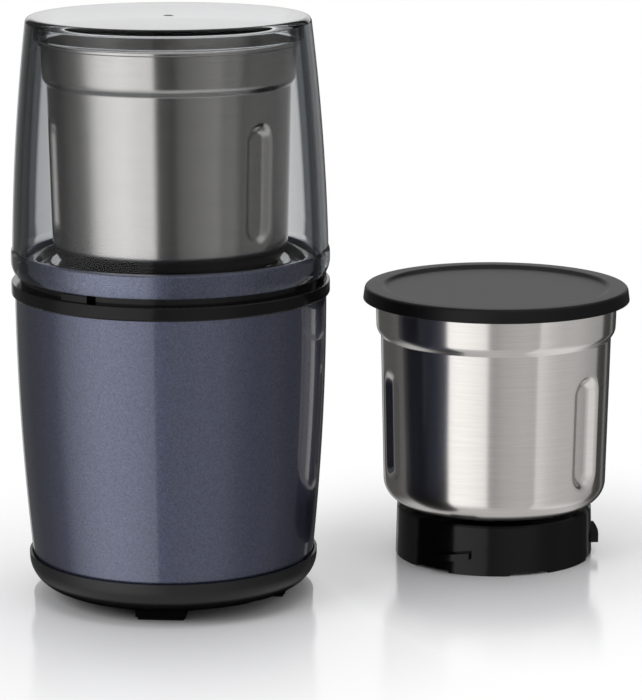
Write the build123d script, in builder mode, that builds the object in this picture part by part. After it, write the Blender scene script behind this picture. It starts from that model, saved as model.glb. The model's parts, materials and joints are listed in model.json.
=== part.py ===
"""Electric spice grinder, in millimetres, +Z up.

A motor base carries a clear dome lid that is pressed down to run the motor. A steel bowl with
its own blade locks into the base by a bayonet, and a second bowl with a storage cover stands
beside it. Every piece is drawn about its own upright axis and is then put in its place in the
set, whose origin is the middle of the footprint, on the surface that the set stands on.
"""

import os
from math import cos, degrees, radians, sin, tan

from build123d import *

os.makedirs("parts", exist_ok=True)

# ---------------------------------------------------------------------------------------------
# Driving dimensions
# ---------------------------------------------------------------------------------------------

# Clearances
fit_gap = 0.3  # between pieces that are assembled by hand
close_gap = 0.1  # round a screw, a nut or a bush in its hole
running_gap = 0.05  # between a turning shaft and its bearing
sliding_gap = 0.2  # beside a piece that slides
travel_gap = 0.4  # between pieces that follow each other through the press

# Directions, small roundings and cuts
front = -90.0  # the side that faces the user, as an angle about the axis
edge_round = 0.8  # on a moulded edge
past = 1.0  # how far a cut runs past the face that it opens

# Spare bowl's place, from the grinder's axis
spare_right = 129.7
spare_behind = 68.7

# Feet and bottom tray
foot_count = 4
foot_height = 5.0
foot_inset = 3.0  # from the edge of the tray's floor
foot_width = 20.0
foot_depth = 9.0
pad_thickness = 1.3
pad_margin = 0.8
tray_rim_overhang = 1.8  # of its rim past the sleeve's lower edge
tray_rim_height = 11.6
tray_bulge_inset = 3.5  # from the rim, as is the next
tray_floor_inset = 9.2
tray_bulge_height = 3.1
tray_height = 13.0
tray_floor_thickness = 2.4
tray_wall = 2.9
tray_lip_wall = 1.0
tray_bevel = 1.5
sleeve_seat_height = 10.0
vent_count = 16
vent_circle = 27.0
vent_length = 14.0
vent_width = 3.0

# Painted sleeve
sleeve_top_radius = 62.6
sleeve_low_taper = 5.7
sleeve_middle_taper = 1.55
sleeve_wall = 1.2
sleeve_showing = 109.2
sleeve_middle_share = 0.48
sleeve_tuck = 1.5

# Collar, deck and painted band
collar_overhang = 1.4
collar_height = 5.6
collar_edge_round = 1.0
tier_height = 3.4
band_inset = 2.4  # from the sleeve's top
band_wall = 2.6
band_height = 8.0
band_edge_round = 0.6
tier_step = 0.5
collar_shelf_drop = 3.2
collar_shelf_thickness = 2.6
deck_flange_wall = 3.0
deck_ledge_drop = 1.6
deck_ledge_width = 3.5
dish_depth = 3.6
dish_slope_width = 1.3
dish_fall = 0.5
dish_thickness = 2.6
well_collar_height = 2.6
well_depth = 16.1
well_floor_thickness = 2.5
well_wall = 2.9
hub_radius = 9.0
hub_hole_radius = 6.0
deck_screw_count = 4
deck_screw_start = 15.0
deck_screw_radius = 1.25
deck_screw_depth = 6.0
deck_screw_head_radius = 1.9
deck_screw_head_height = 2.0

# Deck posts, their screws and the spring carrier
post_count = 4
post_start = 45.0
post_radius = 4.0
post_neck_radius = 3.5
post_foot_gap = 7.1
pilot_radius = 1.4
pilot_depth = 13.0
cover_screw_head_radius = 3.2
cover_screw_head_height = 2.4
cover_screw_recess = 2.6
cover_screw_length = 16.0
cover_screw_hole_radius = 1.7
carrier_drop = 7.7
carrier_thickness = 2.5
carrier_gap = 1.0
carrier_width = 15.8

# Lid press: plungers, springs and switch
plunger_count = 3
plunger_lead = 30.25
plunger_head_angle = 11.5
plunger_slot_angle = 14.6
plunger_slot_lead = 0.3
plunger_cover = 1.4  # of the collar, outside the plunger's head
plunger_head_depth = 3.4
plunger_head_height = 3.9
plunger_lap = 1.0
plunger_stem_inset = 2.0
plunger_stem_depth = 2.0
plunger_stem_angle = 7.0
plunger_foot_length = 11.4
plunger_foot_angle = 10.0
plunger_foot_thickness = 3.0
plunger_foot_height = 12.5
press_travel = 2.6
press_stop_gap = 0.2
lid_rest_gap = 0.1
spring_inset = 3.6  # from the outside of the plunger's stem
spring_radius = 2.4
spring_wire_radius = 0.35
spring_turns = 6
spring_peg_radius = 1.5
spring_peg_height = 3.0

switch_inset = 9.5  # from the outside of the plunger's stem
switch_width = 4.8
switch_near = -6.0
switch_far = 14.0
switch_height = 7.5
lever_pivot = 12.0
lever_pivot_height = 8.5
lever_tip = -5.0
lever_lift = 11.3
lever_thickness = 0.6
lever_width = 3.6
lever_knuckle_radius = 0.9
lever_pin_radius = 0.5
ear_wall = 0.5
ear_half_length = 1.2
button_place = 4.0
button_radius = 1.2
button_length = 4.4
button_top = 9.5
terminal_places = (0.0, 8.0)
terminal_size = (3.0, 0.8)
terminal_length = 7.0

# Dome lid
dome_clearance = 0.5
dome_wall = 2.8
dome_headroom = 6.1  # over the bowl's rim
dome_lip_round = 2.3
dome_band_height = 9.3
dome_band_step = 0.6
dome_band_slope = 1.4
dome_shoulder_room = 4.95  # outside the bowl's rim
dome_bulge = 1.075
dome_middle_share = 0.5
dome_shoulder_drop = 2.6
dome_shoulder_round = 2.5
dome_rib_wall = 1.3
dome_rib_height = 5.6
gate_radius = 2.0
gate_depth = 0.3

# Motor
core_width = 64.0
core_depth = 58.0
core_corner = 8.0
core_height = 36.0
core_side_limb = 6.0
core_yoke = 5.0
pole_width = 25.0
pole_shoe = 2.5
pole_shoe_angle = 100.0
air_gap = 0.5
armature_radius = 17.5
coil_wall = 8.0
coil_near = 17.0
coil_thickness = 6.5
coil_rise = 6.0
bolt_radius = 2.0
bolt_head_radius = 3.8
bolt_head_height = 3.0
bolt_inset = 3.5
standoff_radius = 4.0
bracket_thickness = 3.0
bracket_window_depth = 10.0
bracket_window_round = 3.0
bracket_window_angle = 52.0
bracket_window_inner = 15.0
bracket_window_outer = 26.0
lower_standoff = 21.0
fan_room = 17.0
upper_bracket_radius = 42.0
bearing_radius = 7.9
bearing_length = 8.5
bearing_boss_radius = 11.0
lower_boss_drop = 4.0
lower_boss_floor = 1.5
mount_screw_circle = 36.0
mount_screw_radius = 2.0
mount_screw_head_radius = 4.0
mount_screw_head_height = 3.0
mount_boss_radius = 5.0
mount_boss_drop = 3.2
grommet_radius = 5.0
grommet_neck_radius = 3.4
grommet_top = 4.0
grommet_bottom = 2.8

shaft_radius = 4.0
shaft_chamfer = 0.5
slot_count = 12
slot_width = 3.0
slot_mouth_width = 1.2
winding_radius = 14.0
winding_overhang = 5.5
winding_round = 3.0
commutator_radius = 9.5
commutator_length = 9.0
commutator_gap = 6.0
bar_slit = 0.6
bar_slit_depth = 1.0
brush_width = 6.0
brush_height = 5.0
brush_length = 10.3
brush_gap = 0.2
holder_wall = 1.3
holder_near_radius = 11.0
holder_far_radius = 25.0
holder_seat_length = 10.0
fan_radius = 25.0
fan_height = 7.0
fan_disc = 1.2
fan_hub_radius = 7.0
fan_blade_count = 9
fan_blade_thickness = 1.5
fan_rise = 7.0

# Drive between the motor and a bowl's blade
coupling_radius = 13.0
coupling_disc = 3.2
coupling_jaw_count = 4
coupling_jaw_angle = 38.0
coupling_jaw_inner = 5.0
coupling_jaw_height = 3.4
coupling_hub_gap = 0.4

# Bowl, from the bottom of its skirt
bowl_seat_gap = 0.3
skirt_inset = 20.7  # from the sleeve's top
skirt_draft = 0.5
skirt_height = 21.2
skirt_wall = 2.6
skirt_disc_thickness = 2.7
skirt_edge = 0.8
skirt_notch_count = 6
skirt_notch_angle = 24.0
skirt_notch_height = 1.2
skirt_notch_lead = 37.4
skirt_clearance = 1.3
skirt_hub_radius = 15.0
lug_count = 3
lug_lead = 22.6
lug_length = 16.0
lug_low = 4.9
lug_ramp = 2.4
lug_thickness = 2.8
lug_reach = 2.9
lug_clearance = 0.6
lug_play = 2.0
unlock_angle = 30.0
cup_lift = 1.8  # of its floor over the skirt
cup_overhang = 6.55  # past the skirt
cup_flare = 1.35
cup_corner_round = 8.5
cup_wall = 0.9
cup_step_height = 94.7
cup_step_width = 2.05
cup_step_rise = 2.6
cup_step_low_round = 0.5
cup_step_high_round = 4.0
cup_step_flare = 0.4
cup_height = 112.5
rim_roll = 1.0
rim_roll_height = 1.9
rim_roll_tuck = 0.3
rim_inner_drop = 0.5
grip_count = 3
grip_lead = 66.0
grip_width = 17.0
grip_low = 33.0
grip_high = 83.4
grip_depth = 3.45
grip_slope = 32.0
bush_radius = 8.8
bush_flange_radius = 11.0
bush_flange_height = 2.5
bush_tail = 0.4  # below its nut
seal_radius = 12.5
seal_thickness = 1.0
nut_radius = 13.0
nut_height = 4.2
blade_shaft_radius = 3.0
blade_height = 5.1  # over the cup's floor
blade_thickness = 1.6
blade_tip_gap = 7.55  # to the cup's wall
blade_width = 13.0
blade_tip_width = 7.0
blade_flat = 13.0
blade_bend = 24.0
blade_high_bend = 5.6
blade_high_tip = 7.0
blade_tip_slant = 3.0
blade_low_tip = 2.4
cap_nut_radius = 5.0
cap_nut_height = 4.6
cap_nut_round = 2.0
washer_radius = 5.0
washer_gap = 0.2
circlip_radius = 5.2
circlip_thickness = 0.5
circlip_room = 1.2
jaw_gap = 0.3

# Storage cover
cover_overhang = 4.3
cover_draft = 0.8
cover_height = 5.7
cover_lap = 2.5
cover_round = 1.3
cover_border = 9.8
cover_panel_depth = 1.2
cover_plug_wall = 2.0
cover_plug_depth = 6.0
cover_web = 1.7

# Small electrical parts and the cord's outlet
gland_bore_radius = 2.9
gland_radius = 3.9
gland_flange_radius = 4.6
gland_flange_length = 3.0
gland_length = 10.5
gland_height = 5.0
gland_boss_radius = 4.9
gland_boss_inset = 1.7  # from the tray's rim
capacitor_size = (18.0, 9.0, 13.0)
capacitor_inset = 10.0  # from the edge of the tray's floor, as is the next
terminal_block_size = (16.0, 8.0, 9.0)
terminal_block_inset = 9.5
terminal_spacing = 8.0
terminal_screw_radius = 1.6
terminal_screw_depth = 2.0
lead_radius = 1.0
lead_height = 3.5

# ---------------------------------------------------------------------------------------------
# Heights and radii that follow from them
# ---------------------------------------------------------------------------------------------

plunger_angle = front - plunger_lead
lug_angle = front - lug_lead
grip_start = front - grip_lead
skirt_notch_start = front - skirt_notch_lead

sleeve_middle_radius = sleeve_top_radius - sleeve_middle_taper
sleeve_low_radius = sleeve_top_radius - sleeve_low_taper
collar_radius = sleeve_top_radius + collar_overhang
band_radius = sleeve_top_radius - band_inset
tray_rim_radius = sleeve_low_radius + tray_rim_overhang
tray_bulge_radius = tray_rim_radius - tray_bulge_inset
tray_floor_radius = tray_rim_radius - tray_floor_inset
foot_reach = tray_floor_radius - foot_inset
carrier_outer_radius = sleeve_top_radius - sleeve_wall - carrier_gap
carrier_inner_radius = carrier_outer_radius - carrier_width
plunger_head_outer = collar_radius - plunger_cover
plunger_head_inner = plunger_head_outer - plunger_head_depth
plunger_stem_outer = plunger_head_outer - plunger_stem_inset
plunger_stem_inner = plunger_stem_outer - plunger_stem_depth
plunger_foot_inner = plunger_stem_outer - plunger_foot_length
spring_circle = plunger_stem_outer - spring_inset
switch_reach = plunger_stem_outer - switch_inset
skirt_low_radius = sleeve_top_radius - skirt_inset
skirt_high_radius = skirt_low_radius - skirt_draft
cup_low_radius = skirt_low_radius + cup_overhang
cup_floor_radius = cup_low_radius - cup_flare
cup_step_radius = cup_low_radius + cup_step_width
cup_high_radius = cup_step_radius + cup_step_flare
grip_floor_radius = cup_low_radius - grip_depth
blade_reach = cup_low_radius - cup_wall - blade_tip_gap
gland_boss_reach = tray_rim_radius - gland_boss_inset
capacitor_place = capacitor_inset - tray_floor_radius
terminal_block_place = tray_floor_radius - terminal_block_inset

tray_low = foot_height
tray_floor = tray_low + tray_floor_thickness
sleeve_low = tray_low + sleeve_seat_height
tray_top = tray_low + tray_height
collar_low = sleeve_low + sleeve_showing
sleeve_top = collar_low + sleeve_tuck
ledge = collar_low + collar_height
band_low = ledge + tier_height
band_top = band_low + band_height
dome_low = ledge + press_travel + press_stop_gap
well_floor = ledge - well_depth
well_under = well_floor - well_floor_thickness
bowl_low = well_floor + bowl_seat_gap
dome_ceiling = bowl_low + cup_height + dome_headroom
dome_top = dome_ceiling + dome_wall

band_inner = band_radius - band_wall
tier_radius = band_radius + tier_step
flange_radius = band_inner - fit_gap
flange_inner = flange_radius - deck_flange_wall
flange_low = ledge + sliding_gap
deck_ledge = band_top - deck_ledge_drop
dish_floor = deck_ledge - dish_depth
dish_under = dish_floor - dish_thickness
shelf_low = flange_low - collar_shelf_thickness
shelf_inner = flange_inner - close_gap
collar_inner = plunger_stem_inner - 2 * sliding_gap - fit_gap

well_radius = skirt_low_radius + skirt_clearance
lug_radius = skirt_low_radius + lug_reach
groove_radius = lug_radius + lug_clearance
well_outer = groove_radius + well_wall
post_circle = flange_inner - post_radius - fit_gap - sliding_gap
post_foot = tray_floor + post_foot_gap

carrier_top = well_under - carrier_drop
carrier_low = carrier_top - carrier_thickness
plunger_foot = carrier_top + plunger_foot_height
plunger_foot_top = plunger_foot + plunger_foot_thickness
plunger_top = dome_low - lid_rest_gap
plunger_neck = plunger_top - plunger_head_height
plunger_stem_top = plunger_neck + plunger_lap
plunger_pocket = plunger_neck - press_travel - sliding_gap

dome_inner = tier_radius + dome_clearance
dome_radius = dome_inner + dome_wall
dome_band_top = dome_low + dome_band_height
rim_radius = cup_high_radius + rim_roll
dome_shoulder_radius = rim_radius + dome_shoulder_room
dome_middle_radius = (dome_radius - dome_band_step + dome_shoulder_radius) / 2 + dome_bulge
cover_radius = rim_radius + cover_overhang
cover_top_radius = cover_radius - cover_draft
cover_panel_radius = cover_radius - cover_border
rib_inner = rim_radius + travel_gap

upper_top = well_under - mount_boss_drop - grommet_top
upper_low = upper_top - bracket_thickness
core_top = upper_low - fan_room
core_low = core_top - core_height
lower_top = core_low - lower_standoff
lower_low = lower_top - bracket_thickness
bolt_across = core_width / 2 - bolt_inset
bolt_along = core_depth / 2 - bolt_inset
lower_boss_low = lower_low - lower_boss_drop
lower_bearing_low = lower_boss_low + lower_boss_floor
upper_bearing_low = upper_low - fit_gap
commutator_top = core_low - commutator_gap
commutator_low = commutator_top - commutator_length
brush_middle = (commutator_low + commutator_top) / 2
holder_half_width = brush_width / 2 + sliding_gap + holder_wall
holder_low = brush_middle - brush_height / 2 - sliding_gap - holder_wall
holder_top = brush_middle + brush_height / 2 + sliding_gap + holder_wall
fan_low = core_top + fan_rise
bore_radius = armature_radius + air_gap

skirt_disc_low = skirt_height - skirt_disc_thickness
cup_floor_height = skirt_height + cup_lift
cup_floor = cup_floor_height + cup_wall
flange_seat = cup_floor + seal_thickness
flange_top = flange_seat + bush_flange_height
blade_low = cup_floor + blade_height
bush_low = skirt_disc_low - nut_height - bush_tail
driven_top = bush_low - circlip_room
driven_disc = driven_top - coupling_disc
driven_low = driven_disc - coupling_jaw_height
coupling_top = bowl_low + driven_low - jaw_gap
coupling_low = coupling_top - coupling_disc
hub_top = coupling_low - coupling_hub_gap
cup_inner_high = cup_high_radius - cup_wall
grip_middle = (grip_low + grip_high) / 2
grip_narrowing = 2 * (cup_low_radius - grip_floor_radius) * tan(radians(grip_slope))
grip_reach = grip_depth + past

cover_low = cup_height - cover_lap
cover_top = cover_low + cover_height
cover_inside = cup_height + fit_gap

grinder_reach = max(dome_radius, collar_radius)
spare_reach = max(cover_radius, rim_radius)
grinder_place = (
    (grinder_reach - spare_right - spare_reach) / 2,
    (grinder_reach - spare_behind - spare_reach) / 2,
)
spare_place = (grinder_place[0] + spare_right, grinder_place[1] + spare_behind)

# ---------------------------------------------------------------------------------------------
# Helpers
# ---------------------------------------------------------------------------------------------


def upright(angle=0.0):
    """The vertical half plane at an angle about the axis: its X is the radius, its Y the height."""
    a = radians(angle)
    return Plane(origin=(0, 0, 0), x_dir=(cos(a), sin(a), 0), z_dir=(sin(a), -cos(a), 0))


def facing(angle, reach, height=0.0):
    """A vertical plane that faces outwards: its X is counter-clockwise, its Y is up."""
    a = radians(angle)
    origin = (reach * cos(a), reach * sin(a), height)
    return Plane(origin=origin, x_dir=(-sin(a), cos(a), 0), z_dir=(cos(a), sin(a), 0))


def turn(*corners, mode=Mode.ADD):
    """Turn an outline about the axis. A corner is (radius, height) or (radius, height, rounding)."""
    roundings = [corner[2] if len(corner) == 3 else 0 for corner in corners]
    with BuildSketch(upright()) as outline:
        with BuildLine():
            FilletPolyline(*[corner[:2] for corner in corners], radius=roundings, close=True)
        make_face()
    revolve(outline.sketch, axis=Axis.Z, mode=mode)


def ring(inner, outer, low, high, mode=Mode.ADD):
    """A plain ring about the axis."""
    turn((inner, low), (outer, low), (outer, high), (inner, high), mode=mode)


def sector(inner, outer, low, high, start, sweep, mode=Mode.ADD):
    """A block between two radii and two heights that runs counter-clockwise from an angle."""
    with BuildSketch(upright(start)) as outline:
        with BuildLine():
            Polyline((inner, low), (outer, low), (outer, high), (inner, high), close=True)
        make_face()
    revolve(outline.sketch, axis=Axis.Z, revolution_arc=sweep, mode=mode)


def rod(radius, low, high, mode=Mode.ADD):
    """An upright cylinder between two heights, at each current location."""
    with Locations((0, 0, low)):
        Cylinder(radius, high - low, align=(Align.CENTER, Align.CENTER, Align.MIN), mode=mode)


def block(size_x, size_y, low, high, mode=Mode.ADD):
    """An upright box between two heights, at each current location."""
    with Locations((0, 0, low)):
        Box(size_x, size_y, high - low, align=(Align.CENTER, Align.CENTER, Align.MIN), mode=mode)


def nuts(radius, hole, low, high, *places):
    """Hexagon nuts between two heights, one at each place."""
    with BuildSketch(Plane.XY.offset(low)) as plan:
        with Locations(*places):
            RegularPolygon(radius, 6)
            Circle(hole, mode=Mode.SUBTRACT)
    extrude(plan.sketch, amount=high - low)


def spaced(count, start):
    """Angles spaced evenly round the axis."""
    return [start + 360 * i / count for i in range(count)]


def on_circle(radius, count, start):
    """Points spaced evenly on a circle."""
    places = [radians(angle) for angle in spaced(count, start)]
    return [(radius * cos(a), radius * sin(a)) for a in places]


def wall_arc(low_radius, low, middle_radius, middle, high_radius, high):
    """A gently bowed wall line through three points of the upright half plane."""
    return ThreePointArc((low_radius, low), (middle_radius, middle), (high_radius, high))


grinder_pieces = {}
bowl_pieces = {}

# ---------------------------------------------------------------------------------------------
# Bottom tray, feet and cord outlet
# ---------------------------------------------------------------------------------------------

foot_middle = foot_reach - foot_depth / 2
post_places = on_circle(post_circle, post_count, post_start)
gland_axis = tray_low + gland_height
gland_mouth = gland_boss_reach + gland_flange_length
gland_start = gland_mouth - gland_length
terminal_block_top = tray_floor + terminal_block_size[2]

with BuildPart() as tray_posts:
    with Locations(*post_places):
        rod(post_radius, tray_low, post_foot)
    with BuildSketch(upright()) as tray_room:
        with BuildLine():
            Polyline((tray_rim_radius, tray_low + tray_rim_height), (tray_rim_radius, tray_top),
                     (0, tray_top), (0, tray_low), (tray_floor_radius, tray_low))
            wall_arc(tray_floor_radius, tray_low, tray_bulge_radius, tray_low + tray_bulge_height,
                     tray_rim_radius, tray_low + tray_rim_height)
        make_face()
    revolve(tray_room.sketch, axis=Axis.Z, mode=Mode.INTERSECT)

with BuildPart() as base_tray:
    with BuildSketch(upright()) as tray_outline:
        with BuildLine():
            Polyline((tray_rim_radius, tray_low + tray_rim_height), (tray_rim_radius, tray_top),
                     (tray_rim_radius - tray_lip_wall, tray_top),
                     (tray_rim_radius - tray_lip_wall, sleeve_low),
                     (tray_rim_radius - tray_lip_wall - tray_wall, sleeve_low),
                     (tray_bulge_radius - tray_wall, tray_floor + tray_bevel),
                     (tray_floor_radius - tray_wall, tray_floor),
                     (0, tray_floor), (0, tray_low), (tray_floor_radius, tray_low))
            wall_arc(tray_floor_radius, tray_low, tray_bulge_radius, tray_low + tray_bulge_height,
                     tray_rim_radius, tray_low + tray_rim_height)
        make_face()
    revolve(tray_outline.sketch, axis=Axis.Z)
    with PolarLocations(foot_middle, foot_count, start_angle=front):
        block(foot_depth, foot_width, pad_thickness, tray_floor)
    add(tray_posts.part)
    with Locations(*post_places):
        rod(cover_screw_hole_radius, tray_low, post_foot, mode=Mode.SUBTRACT)
        rod(cover_screw_head_radius + close_gap, 0,
            tray_low + cover_screw_recess + cover_screw_head_height, mode=Mode.SUBTRACT)
    with BuildSketch() as vents:
        with PolarLocations(vent_circle, vent_count):
            SlotOverall(vent_length, vent_width)
    extrude(vents.sketch, amount=tray_floor + past, mode=Mode.SUBTRACT)
    with BuildSketch(facing(-front, gland_start, gland_axis)) as gland_boss:
        Circle(gland_boss_radius)
    extrude(gland_boss.sketch, amount=gland_boss_reach - gland_start)
    with BuildSketch(facing(-front, gland_start, gland_axis)) as gland_hole:
        Circle(gland_radius + close_gap)
    extrude(gland_hole.sketch, amount=gland_length, mode=Mode.SUBTRACT)
    with BuildSketch(facing(-front, gland_boss_reach, gland_axis)) as gland_seat:
        Circle(gland_flange_radius + close_gap)
    extrude(gland_seat.sketch, amount=gland_flange_length, mode=Mode.SUBTRACT)
grinder_pieces["base_tray"] = base_tray

with BuildPart() as foot_pads:
    with PolarLocations(foot_middle, foot_count, start_angle=front):
        block(foot_depth - 2 * pad_margin, foot_width - 2 * pad_margin, 0, pad_thickness)
    fillet(foot_pads.edges().filter_by(Axis.Z), pad_margin)
grinder_pieces["foot_pads"] = foot_pads

with BuildPart() as cord_gland:
    with BuildSketch(facing(-front, gland_start, gland_axis)) as gland_barrel:
        Circle(gland_radius)
    extrude(gland_barrel.sketch, amount=gland_length)
    with BuildSketch(facing(-front, gland_boss_reach, gland_axis)) as gland_flange:
        Circle(gland_flange_radius)
    extrude(gland_flange.sketch, amount=gland_flange_length)
    with BuildSketch(facing(-front, gland_start, gland_axis)) as gland_bore:
        Circle(gland_bore_radius)
    extrude(gland_bore.sketch, amount=gland_length, mode=Mode.SUBTRACT)
grinder_pieces["cord_gland"] = cord_gland

with BuildPart() as cover_screws:
    with Locations(*post_places):
        head_low = tray_low + cover_screw_recess
        rod(cover_screw_head_radius, head_low, head_low + cover_screw_head_height)
        rod(pilot_radius, head_low, head_low + cover_screw_head_height + cover_screw_length)
        rod(pilot_radius / 2, head_low, head_low + cover_screw_head_height / 2, mode=Mode.SUBTRACT)
grinder_pieces["cover_screws"] = cover_screws

# ---------------------------------------------------------------------------------------------
# Sleeve, collar, band and deck
# ---------------------------------------------------------------------------------------------

sleeve_middle = sleeve_low + (sleeve_top - sleeve_low) * sleeve_middle_share

with BuildPart() as housing_shell:
    with BuildSketch(upright()) as shell_outline:
        with BuildLine():
            wall_arc(sleeve_low_radius, sleeve_low, sleeve_middle_radius, sleeve_middle,
                     sleeve_top_radius, sleeve_top)
            Line((sleeve_top_radius, sleeve_top), (sleeve_top_radius - sleeve_wall, sleeve_top))
            wall_arc(sleeve_top_radius - sleeve_wall, sleeve_top,
                     sleeve_middle_radius - sleeve_wall, sleeve_middle,
                     sleeve_low_radius - sleeve_wall, sleeve_low)
            Line((sleeve_low_radius - sleeve_wall, sleeve_low), (sleeve_low_radius, sleeve_low))
        make_face()
    revolve(shell_outline.sketch, axis=Axis.Z)
grinder_pieces["housing_shell"] = housing_shell

plunger_starts = spaced(plunger_count, plunger_angle - plunger_head_angle / 2)
stem_starts = spaced(plunger_count, plunger_angle - plunger_stem_angle / 2)
foot_starts = spaced(plunger_count, plunger_angle - plunger_foot_angle / 2)
stem_slot_angle = plunger_stem_angle + 2 * plunger_slot_lead
deck_screw_circle = (flange_inner + flange_radius) / 2
deck_screw_places = on_circle(deck_screw_circle, deck_screw_count, deck_screw_start)

with BuildPart() as collar_ring:
    turn((collar_inner, collar_low), (collar_radius, collar_low, collar_edge_round),
         (collar_radius, ledge, collar_edge_round / 2), (tier_radius, ledge),
         (tier_radius, band_low), (band_inner - close_gap, band_low),
         (band_inner - close_gap, flange_low), (shelf_inner, flange_low),
         (shelf_inner, shelf_low), (collar_inner, shelf_low))
    ring(sleeve_top_radius - sleeve_wall - close_gap, sleeve_top_radius + close_gap,
         collar_low - past, sleeve_top, mode=Mode.SUBTRACT)
    for start in plunger_starts:
        sector(plunger_head_inner - sliding_gap, plunger_head_outer + sliding_gap,
               plunger_pocket, band_low + past, start - plunger_slot_lead, plunger_slot_angle,
               mode=Mode.SUBTRACT)
    for start in stem_starts:
        sector(collar_inner - past, plunger_stem_outer + sliding_gap, collar_low - past,
               shelf_low, start - plunger_slot_lead, stem_slot_angle, mode=Mode.SUBTRACT)
        sector(plunger_stem_inner - sliding_gap, plunger_stem_outer + sliding_gap, shelf_low,
               plunger_stem_top + sliding_gap, start - plunger_slot_lead, stem_slot_angle,
               mode=Mode.SUBTRACT)
    with Locations(*deck_screw_places):
        rod(deck_screw_radius + close_gap, shelf_low, flange_low, mode=Mode.SUBTRACT)
grinder_pieces["collar_ring"] = collar_ring

with BuildPart() as deck_band:
    turn((band_inner, band_low), (band_radius, band_low),
         (band_radius, band_top, band_edge_round), (band_inner, band_top, band_edge_round))
grinder_pieces["deck_band"] = deck_band

lug_half_angle = degrees(lug_length / 2 / lug_radius) + lug_play
lug_starts = spaced(lug_count, lug_angle - lug_half_angle)
groove_low = bowl_low + lug_low - lug_clearance
groove_high = bowl_low + lug_low + lug_ramp + lug_thickness + lug_clearance
mount_boss_low = well_under - mount_boss_drop
mount_screw_top = well_under + well_floor_thickness / 2
mount_places = on_circle(mount_screw_circle, 4, 0)

with BuildPart() as deck:
    turn((flange_radius, flange_low), (flange_radius, deck_ledge),
         (flange_radius - deck_ledge_width, deck_ledge, edge_round),
         (flange_radius - deck_ledge_width - dish_slope_width, dish_floor + dish_fall, edge_round),
         (well_outer, dish_floor), (well_outer, dish_floor + well_collar_height, edge_round),
         (well_radius, dish_floor + well_collar_height, edge_round),
         (well_radius, well_floor, edge_round),
         (hub_radius, well_floor), (hub_radius, hub_top),
         (hub_hole_radius, hub_top), (hub_hole_radius, well_under),
         (well_outer, well_under), (well_outer, dish_under), (flange_inner, dish_under),
         (flange_inner, flange_low))
    with Locations(*post_places):
        rod(post_radius, carrier_top, dish_floor)
        rod(post_neck_radius, post_foot, carrier_top)
    with Locations(*mount_places):
        rod(mount_boss_radius, mount_boss_low, well_under)
    for start in lug_starts:
        sector(well_radius - past, groove_radius, groove_low, groove_high, start,
               2 * lug_half_angle + unlock_angle, mode=Mode.SUBTRACT)
        sector(well_radius - past, groove_radius, groove_low,
               dish_floor + well_collar_height + past, start + unlock_angle,
               2 * lug_half_angle, mode=Mode.SUBTRACT)
    with Locations(*post_places):
        rod(pilot_radius, post_foot, post_foot + pilot_depth, mode=Mode.SUBTRACT)
    with Locations(*mount_places):
        rod(mount_screw_radius, mount_boss_low, mount_screw_top, mode=Mode.SUBTRACT)
    with Locations(*deck_screw_places):
        rod(deck_screw_radius, flange_low, flange_low + deck_screw_depth, mode=Mode.SUBTRACT)
grinder_pieces["deck"] = deck

with BuildPart() as deck_screws:
    with Locations(*deck_screw_places):
        rod(deck_screw_head_radius, shelf_low - deck_screw_head_height, shelf_low)
        rod(deck_screw_radius, shelf_low - deck_screw_head_height, flange_low + deck_screw_depth)
        rod(deck_screw_radius / 2, shelf_low - deck_screw_head_height,
            shelf_low - deck_screw_head_height / 2, mode=Mode.SUBTRACT)
grinder_pieces["deck_screws"] = deck_screws

# ---------------------------------------------------------------------------------------------
# Spring carrier, plungers and springs
# ---------------------------------------------------------------------------------------------

switch_middle = (terminal_places[0] + terminal_places[1]) / 2

with BuildPart() as spring_carrier:
    ring(carrier_inner_radius, carrier_outer_radius, carrier_low, carrier_top)
    with Locations(*on_circle(spring_circle, plunger_count, plunger_angle)):
        rod(spring_peg_radius, carrier_top, carrier_top + spring_peg_height)
    with Locations(*post_places):
        rod(post_neck_radius + close_gap, carrier_low, carrier_top, mode=Mode.SUBTRACT)
    for place in terminal_places:
        with BuildSketch(Plane.XY.rotated((0, 0, plunger_angle)).offset(carrier_low)) as window:
            with Locations((switch_reach, place)):
                Rectangle(terminal_size[1] + 4 * sliding_gap, terminal_size[0] + 4 * sliding_gap)
        extrude(window.sketch, amount=carrier_thickness, mode=Mode.SUBTRACT)
grinder_pieces["spring_carrier"] = spring_carrier

with BuildPart() as plungers:
    for start in plunger_starts:
        sector(plunger_head_inner, plunger_head_outer, plunger_neck, plunger_top, start,
               plunger_head_angle)
    for start in stem_starts:
        sector(plunger_stem_inner, plunger_stem_outer, plunger_foot, plunger_stem_top, start,
               plunger_stem_angle)
    for start in foot_starts:
        sector(plunger_foot_inner, plunger_stem_outer, plunger_foot, plunger_foot_top, start,
               plunger_foot_angle)
grinder_pieces["plungers"] = plungers

spring_height = plunger_foot_height - 2 * spring_wire_radius

with BuildPart() as one_spring:
    with BuildLine() as coil:
        Helix(spring_height / spring_turns, spring_height, spring_radius)
    with BuildSketch(Plane(origin=coil.line @ 0, z_dir=coil.line % 0)) as wire:
        Circle(spring_wire_radius)
    sweep(wire.sketch, path=coil.line, is_frenet=True)

with BuildPart() as plunger_springs:
    with Locations(*on_circle(spring_circle, plunger_count, plunger_angle)):
        with Locations((0, 0, carrier_top + spring_wire_radius)):
            add(one_spring.part)
grinder_pieces["plunger_springs"] = plunger_springs

# ---------------------------------------------------------------------------------------------
# Microswitch under the first plunger
# ---------------------------------------------------------------------------------------------

switch_plane = facing(plunger_angle, switch_reach, carrier_top)
switch_length = switch_far - switch_near
ear_half_gap = lever_width / 2 + sliding_gap
ear_face = switch_width / 2

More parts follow.
